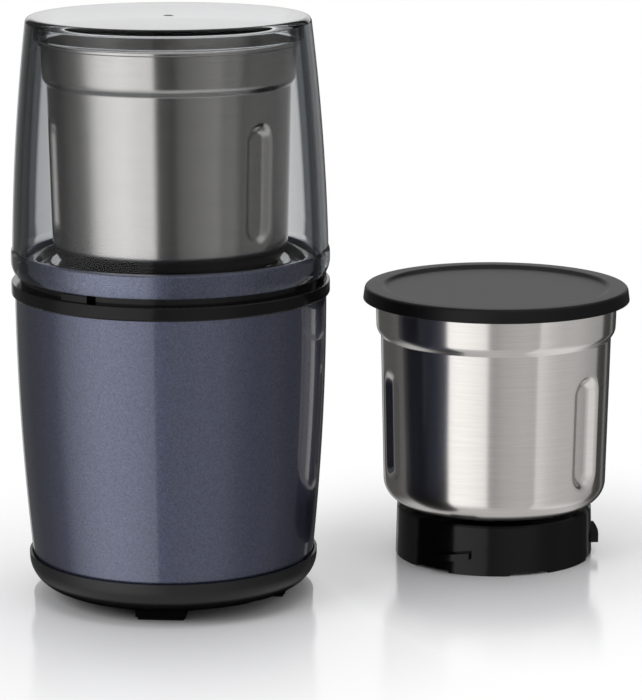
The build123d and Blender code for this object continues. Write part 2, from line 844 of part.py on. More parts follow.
with BuildPart() as switch_body:
    with BuildSketch(switch_plane) as switch_side:
        with Locations(((switch_near + switch_far) / 2, switch_height / 2)):
            Rectangle(switch_length, switch_height)
        with Locations((lever_pivot, lever_pivot_height / 2)):
            Rectangle(2 * ear_half_length, lever_pivot_height)
        with Locations((lever_pivot, lever_pivot_height)):
            Circle(ear_half_length)
    extrude(switch_side.sketch, amount=ear_face, both=True)
    with BuildSketch(switch_plane) as fork:
        with Locations((lever_pivot, switch_height + 2 * ear_half_length)):
            Rectangle(4 * ear_half_length, 4 * ear_half_length)
    extrude(fork.sketch, amount=ear_half_gap, both=True, mode=Mode.SUBTRACT)
    with BuildSketch(switch_plane) as pivot_hole:
        with Locations((lever_pivot, lever_pivot_height)):
            Circle(lever_pin_radius + running_gap)
    extrude(pivot_hole.sketch, amount=switch_width, both=True, mode=Mode.SUBTRACT)
    with BuildSketch(switch_plane) as terminals:
        for place in terminal_places:
            with Locations((place, -terminal_length / 2)):
                Rectangle(terminal_size[0], terminal_length)
    extrude(terminals.sketch, amount=terminal_size[1] / 2, both=True)
    button_well = button_top - button_length - 3 * travel_gap - sliding_gap
    with BuildSketch(Plane(origin=switch_plane.origin, x_dir=switch_plane.x_dir,
                           z_dir=(0, 0, 1)).offset(button_well)) as button_hole:
        with Locations((button_place, 0)):
            Circle(button_radius + close_gap)
    extrude(button_hole.sketch, amount=switch_height, mode=Mode.SUBTRACT)
grinder_pieces["switch_body"] = switch_body

with BuildPart() as switch_button:
    with BuildSketch(Plane(origin=switch_plane.origin, x_dir=switch_plane.x_dir,
                           z_dir=(0, 0, 1)).offset(button_top - button_length)) as button_plan:
        with Locations((button_place, 0)):
            Circle(button_radius)
    extrude(button_plan.sketch, amount=button_length)
grinder_pieces["switch_button"] = switch_button

lever_length = lever_pivot - lever_tip
lever_rise = lever_length * tan(radians(lever_lift))

with BuildPart() as switch_lever:
    with BuildSketch(switch_plane) as strip:
        with BuildLine():
            Polyline((lever_pivot, lever_pivot_height - lever_thickness / 2),
                     (lever_pivot, lever_pivot_height + lever_thickness / 2),
                     (lever_tip, lever_pivot_height + lever_rise + lever_thickness / 2),
                     (lever_tip, lever_pivot_height + lever_rise - lever_thickness / 2),
                     close=True)
        make_face()
        with Locations((lever_pivot, lever_pivot_height)):
            Circle(lever_knuckle_radius)
    extrude(strip.sketch, amount=lever_width / 2, both=True)
    with BuildSketch(switch_plane) as pivot_pin:
        with Locations((lever_pivot, lever_pivot_height)):
            Circle(lever_pin_radius)
    extrude(pivot_pin.sketch, amount=switch_width / 2, both=True)
grinder_pieces["switch_lever"] = switch_lever

# ---------------------------------------------------------------------------------------------
# Dome lid
# ---------------------------------------------------------------------------------------------

dome_wall_low = dome_band_top + dome_band_slope
dome_shoulder = dome_top - dome_shoulder_drop
dome_middle = dome_wall_low + (dome_shoulder - dome_wall_low) * dome_middle_share
dome_wall_radius = dome_radius - dome_band_step
shoulder_inner = dome_shoulder_radius - dome_wall

with BuildPart() as dome_lid:
    with BuildSketch(upright()) as dome_outline:
        with BuildLine():
            FilletPolyline((dome_inner, dome_band_top), (dome_inner, dome_low),
                           (dome_radius, dome_low), (dome_radius, dome_band_top),
                           (dome_wall_radius, dome_wall_low),
                           radius=(0, dome_lip_round, edge_round))
            wall_arc(dome_wall_radius, dome_wall_low, dome_middle_radius, dome_middle,
                     dome_shoulder_radius, dome_shoulder)
            ThreePointArc(
                (dome_shoulder_radius, dome_shoulder),
                (dome_shoulder_radius - dome_shoulder_round * (1 - cos(radians(45))),
                 dome_top - dome_shoulder_drop * (1 - sin(radians(45)))),
                (dome_shoulder_radius - dome_shoulder_round, dome_top))
            Polyline((dome_shoulder_radius - dome_shoulder_round, dome_top), (0, dome_top),
                     (0, dome_ceiling), (shoulder_inner, dome_ceiling))
            wall_arc(shoulder_inner, dome_ceiling, dome_middle_radius - dome_wall, dome_middle,
                     dome_wall_radius - dome_wall, dome_wall_low)
            Line((dome_wall_radius - dome_wall, dome_wall_low), (dome_inner, dome_band_top))
        make_face()
    revolve(dome_outline.sketch, axis=Axis.Z)
    ring(rib_inner, rib_inner + dome_rib_wall, dome_ceiling - dome_rib_height, dome_ceiling)
    rod(gate_radius, dome_top - gate_depth, dome_top, mode=Mode.SUBTRACT)
    rod(gate_radius / 2, dome_top - gate_depth, dome_top - gate_depth / 3)
grinder_pieces["dome_lid"] = dome_lid

# ---------------------------------------------------------------------------------------------
# Motor: stator, brackets and bearings
# ---------------------------------------------------------------------------------------------

bolt_places = [(bolt_across * i, bolt_along * j) for i in (-1, 1) for j in (-1, 1)]
window_width = core_width - 2 * core_side_limb
window_depth = core_depth - 2 * core_yoke
shoe_radius = bore_radius + pole_shoe
pole_half_width = pole_width / 2

with BuildPart() as stator_core:
    with BuildSketch(Plane.XY.offset(core_low)) as lamination:
        RectangleRounded(core_width, core_depth, core_corner)
        Rectangle(window_width, window_depth, mode=Mode.SUBTRACT)
        Rectangle(pole_width, window_depth + core_yoke)
        Circle(shoe_radius)
        for side in (0, 180):
            gap_half = radians((180 - pole_shoe_angle) / 2)
            with BuildLine(Plane.XY.rotated((0, 0, side))):
                far = core_width / 2 - core_side_limb
                Polyline((0, 0), (far, -far * tan(gap_half)), (far, far * tan(gap_half)),
                         close=True)
            make_face(mode=Mode.SUBTRACT)
        Circle(bore_radius, mode=Mode.SUBTRACT)
        with Locations(*bolt_places):
            Circle(bolt_radius + close_gap, mode=Mode.SUBTRACT)
    extrude(lamination.sketch, amount=core_height)
grinder_pieces["stator_core"] = stator_core

coil_inner_width = pole_width + 2 * fit_gap
coil_inner_height = core_height + 2 * fit_gap
coil_middle = (core_low + core_top) / 2

with BuildPart() as field_coils:
    for side in (90, -90):
        with BuildSketch(facing(side, coil_near, coil_middle)) as coil_loop:
            RectangleRounded(coil_inner_width + 2 * coil_wall,
                             coil_inner_height + 2 * coil_rise, coil_rise)
            Rectangle(coil_inner_width, coil_inner_height, mode=Mode.SUBTRACT)
        extrude(coil_loop.sketch, amount=coil_thickness)
grinder_pieces["field_coils"] = field_coils

with BuildPart() as lower_bracket:
    with BuildSketch(Plane.XY.offset(lower_low)) as lower_plate:
        RectangleRounded(core_width, core_depth, core_corner)
        with Locations((0, (bearing_boss_radius + core_depth / 2) / 2),
                       (0, -(bearing_boss_radius + core_depth / 2) / 2)):
            RectangleRounded(core_width / 2, bracket_window_depth, bracket_window_round,
                             mode=Mode.SUBTRACT)
    extrude(lower_plate.sketch, amount=bracket_thickness)
    rod(bearing_boss_radius, lower_boss_low, lower_bearing_low + bearing_length)
    with Locations(*bolt_places):
        rod(standoff_radius, lower_top, core_low)
        rod(bolt_radius + close_gap, lower_low, core_low, mode=Mode.SUBTRACT)
    rod(bearing_radius, lower_bearing_low, lower_top + bearing_length, mode=Mode.SUBTRACT)
    with PolarLocations(holder_far_radius - holder_seat_length / 2, 2):
        block(holder_seat_length, 2 * holder_half_width, lower_top, holder_low)
grinder_pieces["lower_bracket"] = lower_bracket

with BuildPart() as upper_bracket:
    ring(bearing_radius, upper_bracket_radius, upper_low, upper_top)
    ring(bearing_radius, bearing_boss_radius, upper_bearing_low,
         upper_bearing_low + bearing_length)
    with Locations(*bolt_places):
        rod(standoff_radius, core_top, upper_low)
        rod(bolt_radius + close_gap, core_top, upper_top, mode=Mode.SUBTRACT)
    with Locations(*mount_places):
        rod(grommet_neck_radius + close_gap, upper_low, upper_top, mode=Mode.SUBTRACT)
    for angle in spaced(4, post_start - bracket_window_angle / 2):
        sector(bracket_window_inner, bracket_window_outer, upper_low, upper_top,
               angle, bracket_window_angle, mode=Mode.SUBTRACT)
grinder_pieces["upper_bracket"] = upper_bracket

with BuildPart() as lower_bearing:
    ring(shaft_radius + running_gap, bearing_radius, lower_bearing_low,
         lower_bearing_low + bearing_length)
grinder_pieces["lower_bearing"] = lower_bearing

with BuildPart() as upper_bearing:
    ring(shaft_radius + running_gap, bearing_radius, upper_bearing_low,
         upper_bearing_low + bearing_length)
grinder_pieces["upper_bearing"] = upper_bearing

with BuildPart() as motor_bolts:
    with Locations(*bolt_places):
        rod(bolt_head_radius, lower_low - bolt_head_height, lower_low)
        rod(bolt_radius, lower_low - bolt_head_height, upper_top + bolt_head_height)
grinder_pieces["motor_bolts"] = motor_bolts

with BuildPart() as motor_nuts:
    nuts(bolt_head_radius, bolt_radius, upper_top, upper_top + bolt_head_height, *bolt_places)
grinder_pieces["motor_nuts"] = motor_nuts

with BuildPart() as damper_grommets:
    with Locations(*mount_places):
        rod(grommet_radius, upper_top, mount_boss_low)
        rod(grommet_neck_radius, upper_low, upper_top)
        rod(grommet_radius, upper_low - grommet_bottom, upper_low)
        rod(mount_screw_radius + close_gap, upper_low - grommet_bottom, mount_boss_low,
            mode=Mode.SUBTRACT)
grinder_pieces["damper_grommets"] = damper_grommets

mount_screw_seat = upper_low - grommet_bottom

with BuildPart() as mount_screws:
    with Locations(*mount_places):
        rod(mount_screw_head_radius, mount_screw_seat - mount_screw_head_height, mount_screw_seat)
        rod(mount_screw_radius, mount_screw_seat - mount_screw_head_height, mount_screw_top)
grinder_pieces["mount_screws"] = mount_screws

with BuildPart() as brush_holders:
    for side in (0, 180):
        with BuildSketch(facing(side, holder_near_radius, brush_middle)) as holder:
            Rectangle(2 * holder_half_width, holder_top - holder_low)
            Rectangle(brush_width + 2 * sliding_gap, brush_height + 2 * sliding_gap,
                      mode=Mode.SUBTRACT)
        extrude(holder.sketch, amount=holder_far_radius - holder_near_radius)
grinder_pieces["brush_holders"] = brush_holders

with BuildPart() as carbon_brushes:
    for side in (0, 180):
        with BuildSketch(facing(side, commutator_radius + brush_gap, brush_middle)) as brush:
            Rectangle(brush_width, brush_height)
        extrude(brush.sketch, amount=brush_length)
grinder_pieces["carbon_brushes"] = carbon_brushes

# ---------------------------------------------------------------------------------------------
# Motor: rotor
# ---------------------------------------------------------------------------------------------

slot_floor_radius = winding_radius - slot_width
winding_low = core_low - winding_overhang
winding_top = core_top + winding_overhang

with BuildPart() as rotor_shaft:
    rod(shaft_radius, lower_bearing_low + sliding_gap, coupling_top)
    chamfer(rotor_shaft.edges().filter_by(GeomType.CIRCLE), shaft_chamfer)
grinder_pieces["rotor_shaft"] = rotor_shaft

with BuildPart() as armature_core:
    with BuildSketch(Plane.XY.offset(core_low)) as armature_plate:
        Circle(armature_radius)
        Circle(shaft_radius, mode=Mode.SUBTRACT)
        with PolarLocations(slot_floor_radius + slot_width / 2, slot_count):
            Rectangle(slot_width, slot_width, mode=Mode.SUBTRACT)
        with PolarLocations(armature_radius - slot_mouth_width, slot_count):
            Rectangle(3 * slot_width, slot_mouth_width, mode=Mode.SUBTRACT)
    extrude(armature_plate.sketch, amount=core_height)
grinder_pieces["armature_core"] = armature_core

with BuildPart() as armature_winding:
    turn((shaft_radius, winding_low), (winding_radius, winding_low, winding_round),
         (winding_radius, core_low), (shaft_radius, core_low))
    turn((shaft_radius, core_top), (winding_radius, core_top),
         (winding_radius, winding_top, winding_round), (shaft_radius, winding_top))
    with PolarLocations(slot_floor_radius + slot_width / 2, slot_count):
        block(slot_width, slot_width, core_low, core_top)
grinder_pieces["armature_winding"] = armature_winding

with BuildPart() as commutator:
    ring(shaft_radius, commutator_radius, commutator_low, commutator_top)
    with PolarLocations(commutator_radius, slot_count):
        block(2 * bar_slit_depth, bar_slit, commutator_low, commutator_top, mode=Mode.SUBTRACT)
grinder_pieces["commutator"] = commutator

with BuildPart() as cooling_fan:
    rod(fan_hub_radius, fan_low, fan_low + fan_height)
    rod(fan_radius, fan_low, fan_low + fan_disc)
    with PolarLocations((fan_radius + fan_hub_radius) / 2 - past, fan_blade_count):
        block(fan_radius - fan_hub_radius, fan_blade_thickness, fan_low, fan_low + fan_height)
    rod(shaft_radius, fan_low, fan_low + fan_height, mode=Mode.SUBTRACT)
grinder_pieces["cooling_fan"] = cooling_fan

jaw_starts = spaced(coupling_jaw_count, -coupling_jaw_angle / 2)

with BuildPart() as drive_coupling:
    ring(shaft_radius, coupling_radius, coupling_low, coupling_top)
    for start in jaw_starts:
        sector(coupling_jaw_inner, coupling_radius, coupling_top, coupling_top + coupling_jaw_height,
               start, coupling_jaw_angle)
grinder_pieces["drive_coupling"] = drive_coupling

# ---------------------------------------------------------------------------------------------
# Suppressor capacitor, terminal block and leads
# ---------------------------------------------------------------------------------------------

with BuildPart() as capacitor:
    with Locations((0, capacitor_place)):
        block(capacitor_size[0], capacitor_size[1], tray_floor, tray_floor + capacitor_size[2])
    fillet(capacitor.edges().filter_by(Axis.Z), edge_round)
grinder_pieces["capacitor"] = capacitor

terminal_block_face = terminal_block_place - terminal_block_size[1] / 2

with BuildPart() as terminal_block:
    with Locations((0, terminal_block_place)):
        block(terminal_block_size[0], terminal_block_size[1], tray_floor, terminal_block_top)
    for side in (-1, 1):
        with Locations((side * terminal_spacing / 2, terminal_block_place)):
            rod(terminal_screw_radius, terminal_block_top - terminal_screw_depth,
                terminal_block_top, mode=Mode.SUBTRACT)
grinder_pieces["terminal_block"] = terminal_block

lead_level = tray_floor + lead_height
capacitor_face = capacitor_place + capacitor_size[1] / 2
terminal_angle = radians(plunger_angle)
terminal_x = switch_reach * cos(terminal_angle) - terminal_places[1] * sin(terminal_angle)
terminal_y = switch_reach * sin(terminal_angle) + terminal_places[1] * cos(terminal_angle)

lead_routes = (
    ((terminal_spacing / 2, terminal_block_face, lead_level),
     (terminal_spacing / 2, terminal_block_face - 6, lead_level),
     (17, 14, lead_level), (17, -16, lead_level), (4, -26, lead_level + 1),
     (4, capacitor_face, lead_level + 1)),
    ((-terminal_spacing / 2, terminal_block_face, lead_level),
     (-terminal_spacing / 2, terminal_block_face - 6, lead_level),
     (-24, 22, lead_level), (-42, 4, lead_level + 2), (-26, -40, lead_level + 3),
     (terminal_x, terminal_y, lead_level + 23),
     (terminal_x, terminal_y, carrier_top - terminal_length)),
)
lead_bends = ((6, 12, 8, 5), (4, 10, 10, 8, 8))

with BuildPart() as internal_leads:
    for route, bends in zip(lead_routes, lead_bends):
        with BuildLine() as lead_path:
            FilletPolyline(*route, radius=bends)
        with BuildSketch(Plane(origin=lead_path.line @ 0, z_dir=lead_path.line % 0)) as lead_section:
            Circle(lead_radius)
        sweep(lead_section.sketch, path=lead_path.line)
grinder_pieces["internal_leads"] = internal_leads

# ---------------------------------------------------------------------------------------------
# Bowl: cup, skirt and bush
# ---------------------------------------------------------------------------------------------


def cup_body(inset, grow):
    """The cup's outside, or the space inside it, with its grip hollows pressed in."""
    floor = cup_floor_height + inset
    low = cup_floor_radius - inset
    corner = cup_corner_round - inset
    step_low = (cup_low_radius - inset, cup_step_height, cup_step_low_round)
    step_high = (cup_step_radius - inset, cup_step_height + cup_step_rise, cup_step_high_round)
    top = cup_height + grow
    turn((0, floor), (low, floor, corner), step_low, step_high, (cup_high_radius - inset, top), (0, top))
    for angle in spaced(grip_count, grip_start):
        with BuildSketch(facing(angle, grip_floor_radius - inset, grip_middle)) as hollow:
            SlotOverall(grip_high - grip_low - grip_narrowing + 2 * inset,
                        grip_width - grip_narrowing + 2 * inset, rotation=90)
        extrude(hollow.sketch, amount=grip_reach + inset, taper=-grip_slope, mode=Mode.SUBTRACT)


with BuildPart() as bowl_space:
    cup_body(cup_wall, past)

with BuildPart() as steel_cup:
    cup_body(0, 0)
    turn((cup_high_radius - rim_roll_tuck, cup_height - rim_roll_height),
         (rim_radius, cup_height - rim_roll_height, rim_roll * 0.6),
         (rim_radius, cup_height, rim_roll * 0.9),
         (cup_inner_high, cup_height), (cup_inner_high, cup_height - rim_inner_drop))
    add(bowl_space.part, mode=Mode.SUBTRACT)
    rod(bush_radius + close_gap, 0, cup_floor + past, mode=Mode.SUBTRACT)
bowl_pieces["steel_cup"] = steel_cup

with BuildPart() as bowl_skirt:
    turn((skirt_low_radius - skirt_wall, 0), (skirt_low_radius, 0),
         (skirt_high_radius, skirt_height - skirt_edge), (skirt_high_radius - skirt_edge, skirt_height),
         (bush_radius + close_gap, skirt_height), (bush_radius + close_gap, skirt_disc_low),
         (skirt_high_radius - skirt_wall, skirt_disc_low, edge_round))
    ring(bush_radius + close_gap, skirt_hub_radius, skirt_disc_low, cup_floor_height)
    for angle in spaced(lug_count, lug_angle):
        with BuildSketch(facing(angle, skirt_low_radius - skirt_wall / 2)) as lug_side:
            with BuildLine():
                Polyline((-lug_length / 2, lug_low), (lug_length / 2, lug_low + lug_ramp),
                         (lug_length / 2, lug_low + lug_ramp + lug_thickness),
                         (-lug_length / 2, lug_low + lug_thickness), close=True)
            make_face()
        extrude(lug_side.sketch, amount=lug_reach + skirt_wall)
    ring(lug_radius, lug_radius + lug_reach, 0, skirt_height, mode=Mode.SUBTRACT)
    for angle in spaced(skirt_notch_count, skirt_notch_start - skirt_notch_angle / 2):
        sector(skirt_low_radius - skirt_wall - past, skirt_low_radius + past, -past, skirt_notch_height,
               angle, skirt_notch_angle, mode=Mode.SUBTRACT)
bowl_pieces["bowl_skirt"] = bowl_skirt

with BuildPart() as blade_bush:
    turn((blade_shaft_radius + running_gap, bush_low), (bush_radius, bush_low),
         (bush_radius, flange_seat), (bush_flange_radius, flange_seat),
         (bush_flange_radius, flange_top, edge_round), (blade_shaft_radius + running_gap, flange_top))
bowl_pieces["blade_bush"] = blade_bush

with BuildPart() as bush_seal:
    ring(bush_radius, seal_radius, cup_floor, flange_seat)
bowl_pieces["bush_seal"] = bush_seal

with BuildPart() as bush_nut:
    nuts(nut_radius, bush_radius, skirt_disc_low - nut_height, skirt_disc_low, (0, 0))
bowl_pieces["bush_nut"] = bush_nut

# ---------------------------------------------------------------------------------------------
# Bowl: blade and its drive
# ---------------------------------------------------------------------------------------------

blade_top = blade_low + blade_thickness

with BuildPart() as blade_shaft:
    rod(blade_shaft_radius, driven_disc, blade_top + cap_nut_height / 2)
bowl_pieces["blade_shaft"] = blade_shaft

with BuildPart() as grind_blade:
    with BuildSketch(upright()) as blade_side:
        with BuildLine():
            Polyline((-blade_reach, blade_low - blade_low_tip),
                     (-blade_bend, blade_low - blade_low_tip), (-blade_flat, blade_low),
                     (blade_flat, blade_low), (blade_bend, blade_low + blade_high_bend),
                     (blade_reach, blade_low + blade_high_tip),
                     (blade_reach, blade_top + blade_high_tip),
                     (blade_bend, blade_top + blade_high_bend), (blade_flat, blade_top),
                     (-blade_flat, blade_top), (-blade_bend, blade_top - blade_low_tip),
                     (-blade_reach, blade_top - blade_low_tip), close=True)
        make_face()
    extrude(blade_side.sketch, amount=blade_width, both=True)
    with BuildSketch() as blade_plan:
        with BuildLine():
            Polyline((-blade_reach, -blade_tip_width / 2), (0, -blade_width / 2),
                     (blade_reach, -blade_tip_width / 2),
                     (blade_reach - blade_tip_slant, blade_tip_width / 2), (0, blade_width / 2),
                     (blade_tip_slant - blade_reach, blade_tip_width / 2), close=True)
        make_face()
        Circle(blade_width / 2)
        Circle(blade_shaft_radius, mode=Mode.SUBTRACT)
    extrude(blade_plan.sketch, amount=blade_top + 2 * blade_high_tip, mode=Mode.INTERSECT)
bowl_pieces["grind_blade"] = grind_blade

with BuildPart() as blade_cap_nut:
    rod(cap_nut_radius, blade_top, blade_top + cap_nut_height)
    fillet(blade_cap_nut.faces().sort_by(Axis.Z)[-1].edges(), cap_nut_round)
    rod(blade_shaft_radius, blade_top, blade_top + cap_nut_height / 2, mode=Mode.SUBTRACT)
bowl_pieces["blade_cap_nut"] = blade_cap_nut

with BuildPart() as blade_washer:
    ring(blade_shaft_radius, washer_radius, flange_top + washer_gap, blade_low)
bowl_pieces["blade_washer"] = blade_washer

with BuildPart() as driven_coupling:
    ring(blade_shaft_radius, coupling_radius, driven_disc, driven_top)
    for start in spaced(coupling_jaw_count, (360 / coupling_jaw_count - coupling_jaw_angle) / 2):
        sector(coupling_jaw_inner, coupling_radius, driven_low, driven_disc, start,
               coupling_jaw_angle)
bowl_pieces["driven_coupling"] = driven_coupling

with BuildPart() as blade_circlip:
    ring(blade_shaft_radius, circlip_radius, driven_top + fit_gap / 2,
         driven_top + fit_gap / 2 + circlip_thickness)
bowl_pieces["blade_circlip"] = blade_circlip

# ---------------------------------------------------------------------------------------------
# Storage cover of the spare bowl
# ---------------------------------------------------------------------------------------------

plug_outer = cup_inner_high - fit_gap
panel = cover_top - cover_panel_depth

with BuildPart() as storage_cover:
    turn((0, panel), (cover_panel_radius, panel, edge_round),
         (cover_panel_radius + cover_panel_depth, cover_top, edge_round),
         (cover_top_radius, cover_top, cover_round),
         (cover_radius, cover_low, edge_round / 2), (rim_radius + travel_gap, cover_low),
         (rim_radius + travel_gap, cover_inside), (plug_outer, cover_inside),
         (plug_outer, cover_inside - cover_plug_depth, edge_round),
         (plug_outer - cover_plug_wall, cover_inside - cover_plug_depth, edge_round),
         (plug_outer - cover_plug_wall, panel - cover_web), (0, panel - cover_web))

# ---------------------------------------------------------------------------------------------
# Placing and writing
# ---------------------------------------------------------------------------------------------


def write(name, piece, place, height=0.0):
    """Put a finished piece in its place in the set and write it."""
    placed = piece.part.moved(Location((place[0], place[1], height)))
    placed.label = name
    export_step(placed, "parts/" + name + ".step")


for name, piece in grinder_pieces.items():
    write(name, piece, grinder_place)

for name, piece in bowl_pieces.items():
    write(name, piece, grinder_place, bowl_low)
    write("spare_" + name, piece, spare_place)

write("storage_cover", storage_cover, spare_place)
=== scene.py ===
# %% [markdown]
# # Electric spice grinder
# A round motor base in a painted steel sleeve carries a clear dome, which is pressed down to run
# the motor. A steel bowl with a blade sits under the dome, and a second bowl with a storage cover
# stands beside it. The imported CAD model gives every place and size. This lesson gives the
# surfaces: it turns the shells that the eye follows on a lathe of its own, takes smooth copies of
# the moulded pieces with many details, and finishes each with a material built from nodes.

# %% Load the frame
import json
import math

import bmesh
import bpy
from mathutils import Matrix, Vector


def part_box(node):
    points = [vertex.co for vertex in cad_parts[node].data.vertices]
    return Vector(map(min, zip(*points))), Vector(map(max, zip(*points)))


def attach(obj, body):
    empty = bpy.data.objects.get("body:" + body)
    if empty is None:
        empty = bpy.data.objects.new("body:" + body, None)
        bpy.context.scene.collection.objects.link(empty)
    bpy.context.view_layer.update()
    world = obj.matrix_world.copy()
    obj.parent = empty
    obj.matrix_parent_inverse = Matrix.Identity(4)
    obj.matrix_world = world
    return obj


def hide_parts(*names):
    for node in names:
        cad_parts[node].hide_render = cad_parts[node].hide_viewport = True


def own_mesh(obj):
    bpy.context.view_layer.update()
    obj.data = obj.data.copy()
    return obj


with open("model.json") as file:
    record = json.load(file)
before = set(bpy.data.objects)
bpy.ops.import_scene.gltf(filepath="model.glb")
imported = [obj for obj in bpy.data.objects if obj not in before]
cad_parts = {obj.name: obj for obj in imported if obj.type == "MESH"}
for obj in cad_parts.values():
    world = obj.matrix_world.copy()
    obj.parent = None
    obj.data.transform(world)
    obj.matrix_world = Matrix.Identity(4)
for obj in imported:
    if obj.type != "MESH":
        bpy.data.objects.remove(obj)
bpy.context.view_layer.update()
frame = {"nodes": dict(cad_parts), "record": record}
MM = 0.001

# %% [markdown]
# ## Where the pieces stand
# Every round piece of the grinder shares one upright axis, and so does every piece of the second
# bowl. The places could be typed in, but then a change of the model would leave them behind. The
# box of the sleeve and the box of the second cup are centred on those axes, so both are read from
# the frame. The bottom of each bowl's skirt is where that bowl's own heights start.

# %% Axes and seats


def axis_of(node):
    """The upright axis through the middle of a round CAD node."""
    low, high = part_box(node)
    return Vector(((low.x + high.x) / 2, (low.y + high.y) / 2, 0))


grinder_axis = axis_of("housing_shell")
spare_axis = axis_of("spare_steel_cup")
bowl_seat = Vector((0, 0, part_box("bowl_skirt")[0].z))
print("grinder axis, mm:", [round(v / MM, 2) for v in grinder_axis])
print("second bowl's axis, mm:", [round(v / MM, 2) for v in spare_axis])
print("the first bowl's skirt stands at, mm:", round(bowl_seat.z / MM, 2))

# %% [markdown]
# ## Camera
# A wide lens close by would turn the round rims into steep ellipses and make the dome look larger
# than the foot. A long lens from over a metre away keeps them flat. It looks slightly down, stands
# a little to the right of the grinder and turns back towards the middle of the set, so both the
# grinder and the second bowl are in the frame.

# %% Camera
camera_lens, sensor_width = 163.4, 36
camera_distance = 1259.6 * MM
camera_height = 363.7 * MM
camera_pitch = math.radians(11.836)
camera_yaw = math.radians(2.748)
camera_side = math.radians(6.9)
farthest_seen = 50

camera = bpy.data.objects.new("Camera", bpy.data.cameras.new("Camera"))
camera.data.lens = camera_lens
camera.data.sensor_width = sensor_width
camera.data.clip_end = farthest_seen
camera.location = grinder_axis + Vector((camera_distance * math.sin(camera_side),
                                         -camera_distance * math.cos(camera_side), camera_height))
camera.rotation_euler = (math.pi / 2 - camera_pitch, 0, camera_side - camera_yaw)
bpy.context.scene.collection.objects.link(camera)
bpy.context.scene.camera = camera
bpy.context.scene.view_settings.view_transform = "Standard"
print("camera at, mm:", [round(v / MM) for v in camera.location])

# %% [markdown]
# ## Colours and nodes
# Materials and the studio are built from shader nodes, which could be clicked together in the
# editor. In a script, a few small helpers keep them readable: one turns a hex colour, as a paint
# chart gives it, into the linear values that the renderer wants, one gives a plain grey, and one
# adds any node with its options, socket values and links in a single call.

# %% Colour and node helpers


def linear(hex_colour):
    """An sRGB hex colour as linear red, green, blue and alpha."""
    channels = [int(hex_colour[i:i + 2], 16) / 255 for i in (1, 3, 5)]
    return (*(c / 12.92 if c <= 0.04045 else ((c + 0.055) / 1.055) ** 2.4 for c in channels), 1.0)


def grey(level):
    """A level of light as a colour: 1 is white, and a lamp may be brighter."""
    return (level, level, level, 1)


def add(tree, kind, values=None, links=None, **options):
    """Adds a node with its options, the values of its sockets and what feeds them."""
    node = tree.nodes.new(kind)
    for name, option in options.items():
        setattr(node, name, option)
    for socket, value in (values or {}).items():
        node.inputs[socket].default_value = value
    for socket, source in (links or {}).items():
        tree.links.new(source, node.inputs[socket])
    return node


def set_stops(ramp_node, stops):
    """Gives a colour ramp its stops, as (place, colour) pairs."""
    ramp = ramp_node.color_ramp
    while len(ramp.elements) > 1:
        ramp.elements.remove(ramp.elements[-1])
    ramp.elements[0].position, ramp.elements[0].color = stops[0]
    for place, colour in stops[1:]:
        ramp.elements.new(place).color = colour


print("linear mid grey:", round(linear("#808080")[0], 3))

# %% [markdown]
# ## The room round the set
# Shiny round things show the room they stand in. A product studio has a tall softbox on the left,
# a dark gap where the camera stands, a paler panel on the right and dark cloth at the sides, and
# those give the upright bands on steel and lacquer. They could be real panels, but large bright
# panels are slow to sample. The world paints the room by direction instead, which costs nothing:
# the compass direction of a mirror ray is its place on a colour ramp. Its light on matt surfaces
# will be even, so Cycles is told not to aim samples at it.

# %% World and compass
world = bpy.data.worlds.new("Studio")
bpy.context.scene.world = world
world.use_nodes = True
world.cycles.sampling_method = "NONE"
tree = world.node_tree
tree.nodes.clear()
ray = add(tree, "ShaderNodeLightPath").outputs
towards = add(tree, "ShaderNodeTexCoord").outputs["Generated"]
part = add(tree, "ShaderNodeSeparateXYZ", links={"Vector": towards}).outputs
compass = add(tree, "ShaderNodeMath", links={0: part["Y"], 1: part["X"]}, operation="ARCTAN2")
turn = add(tree, "ShaderNodeMath", {1: 1 / (2 * math.pi), 2: 0.5}, {0: compass.outputs[0]},
           operation="MULTIPLY_ADD")
print(world.name, "world has", len(tree.nodes), "nodes so far")

# %% [markdown]
# ## Bands of light
# Steel and lacquer mirror the room directly. The clear dome bends what it shows, and a bowl inside
# it is seen through two walls, so the dome and what lies under it look better in a calmer room.
# Light Path tells the two apart, and each has bands of its own. Each band is a direction in
# degrees, counter-clockwise from the right with the camera at -90, and a level of light.

# %% Bands
seen_in_metal = [
    (-180, 0.34), (-175, 0.55), (-168, 0.95), (-155, 1.45), (-145, 1.75), (-136, 1.90),
    (-118, 1.80), (-102, 1.58), (-97, 1.50), (-95, 0.52), (-88, 0.56), (-81, 0.68), (-60, 0.78),
    (-44, 0.72), (-32, 0.50), (-20, 0.38), (-8, 0.36), (2, 0.32), (11, 0.24), (21, 0.17),
    (32, 0.11), (54, 0.05), (56.5, 0.32), (60, 0.32), (62.5, 0.05), (102, 0.06), (108, 0.60),
    (112, 0.60), (116, 0.12), (148, 0.14), (162, 0.20), (180, 0.34)]
seen_through_plastic = [
    (-180, 0.14), (-170, 0.27), (-165, 0.46), (-160, 0.80), (-155, 1.06), (-145, 1.30),
    (-128, 1.46), (-111, 1.26), (-97.5, 1.20), (-95.5, 0.12), (-79, 0.06), (-75, 0.16),
    (-63, 0.24), (-47, 0.32), (-38, 0.36), (-32, 0.26), (-20, 0.28), (-12, 0.15), (0, 0.18),
    (36, 0.16), (58, 0.20), (72, 0.34), (80, 0.60), (90, 0.62), (96, 0.70), (100, 0.50),
    (110, 0.40), (118, 0.10), (130, 0.05), (155, 0.05), (168, 0.10), (180, 0.14)]


def bands(room):
    """The light of a room round the compass, from (direction, level) pairs."""
    ramp = add(tree, "ShaderNodeValToRGB", links={"Fac": turn.outputs[0]})
    set_stops(ramp, [((angle + 180) / 360, grey(level)) for angle, level in room])
    return ramp.outputs["Color"]


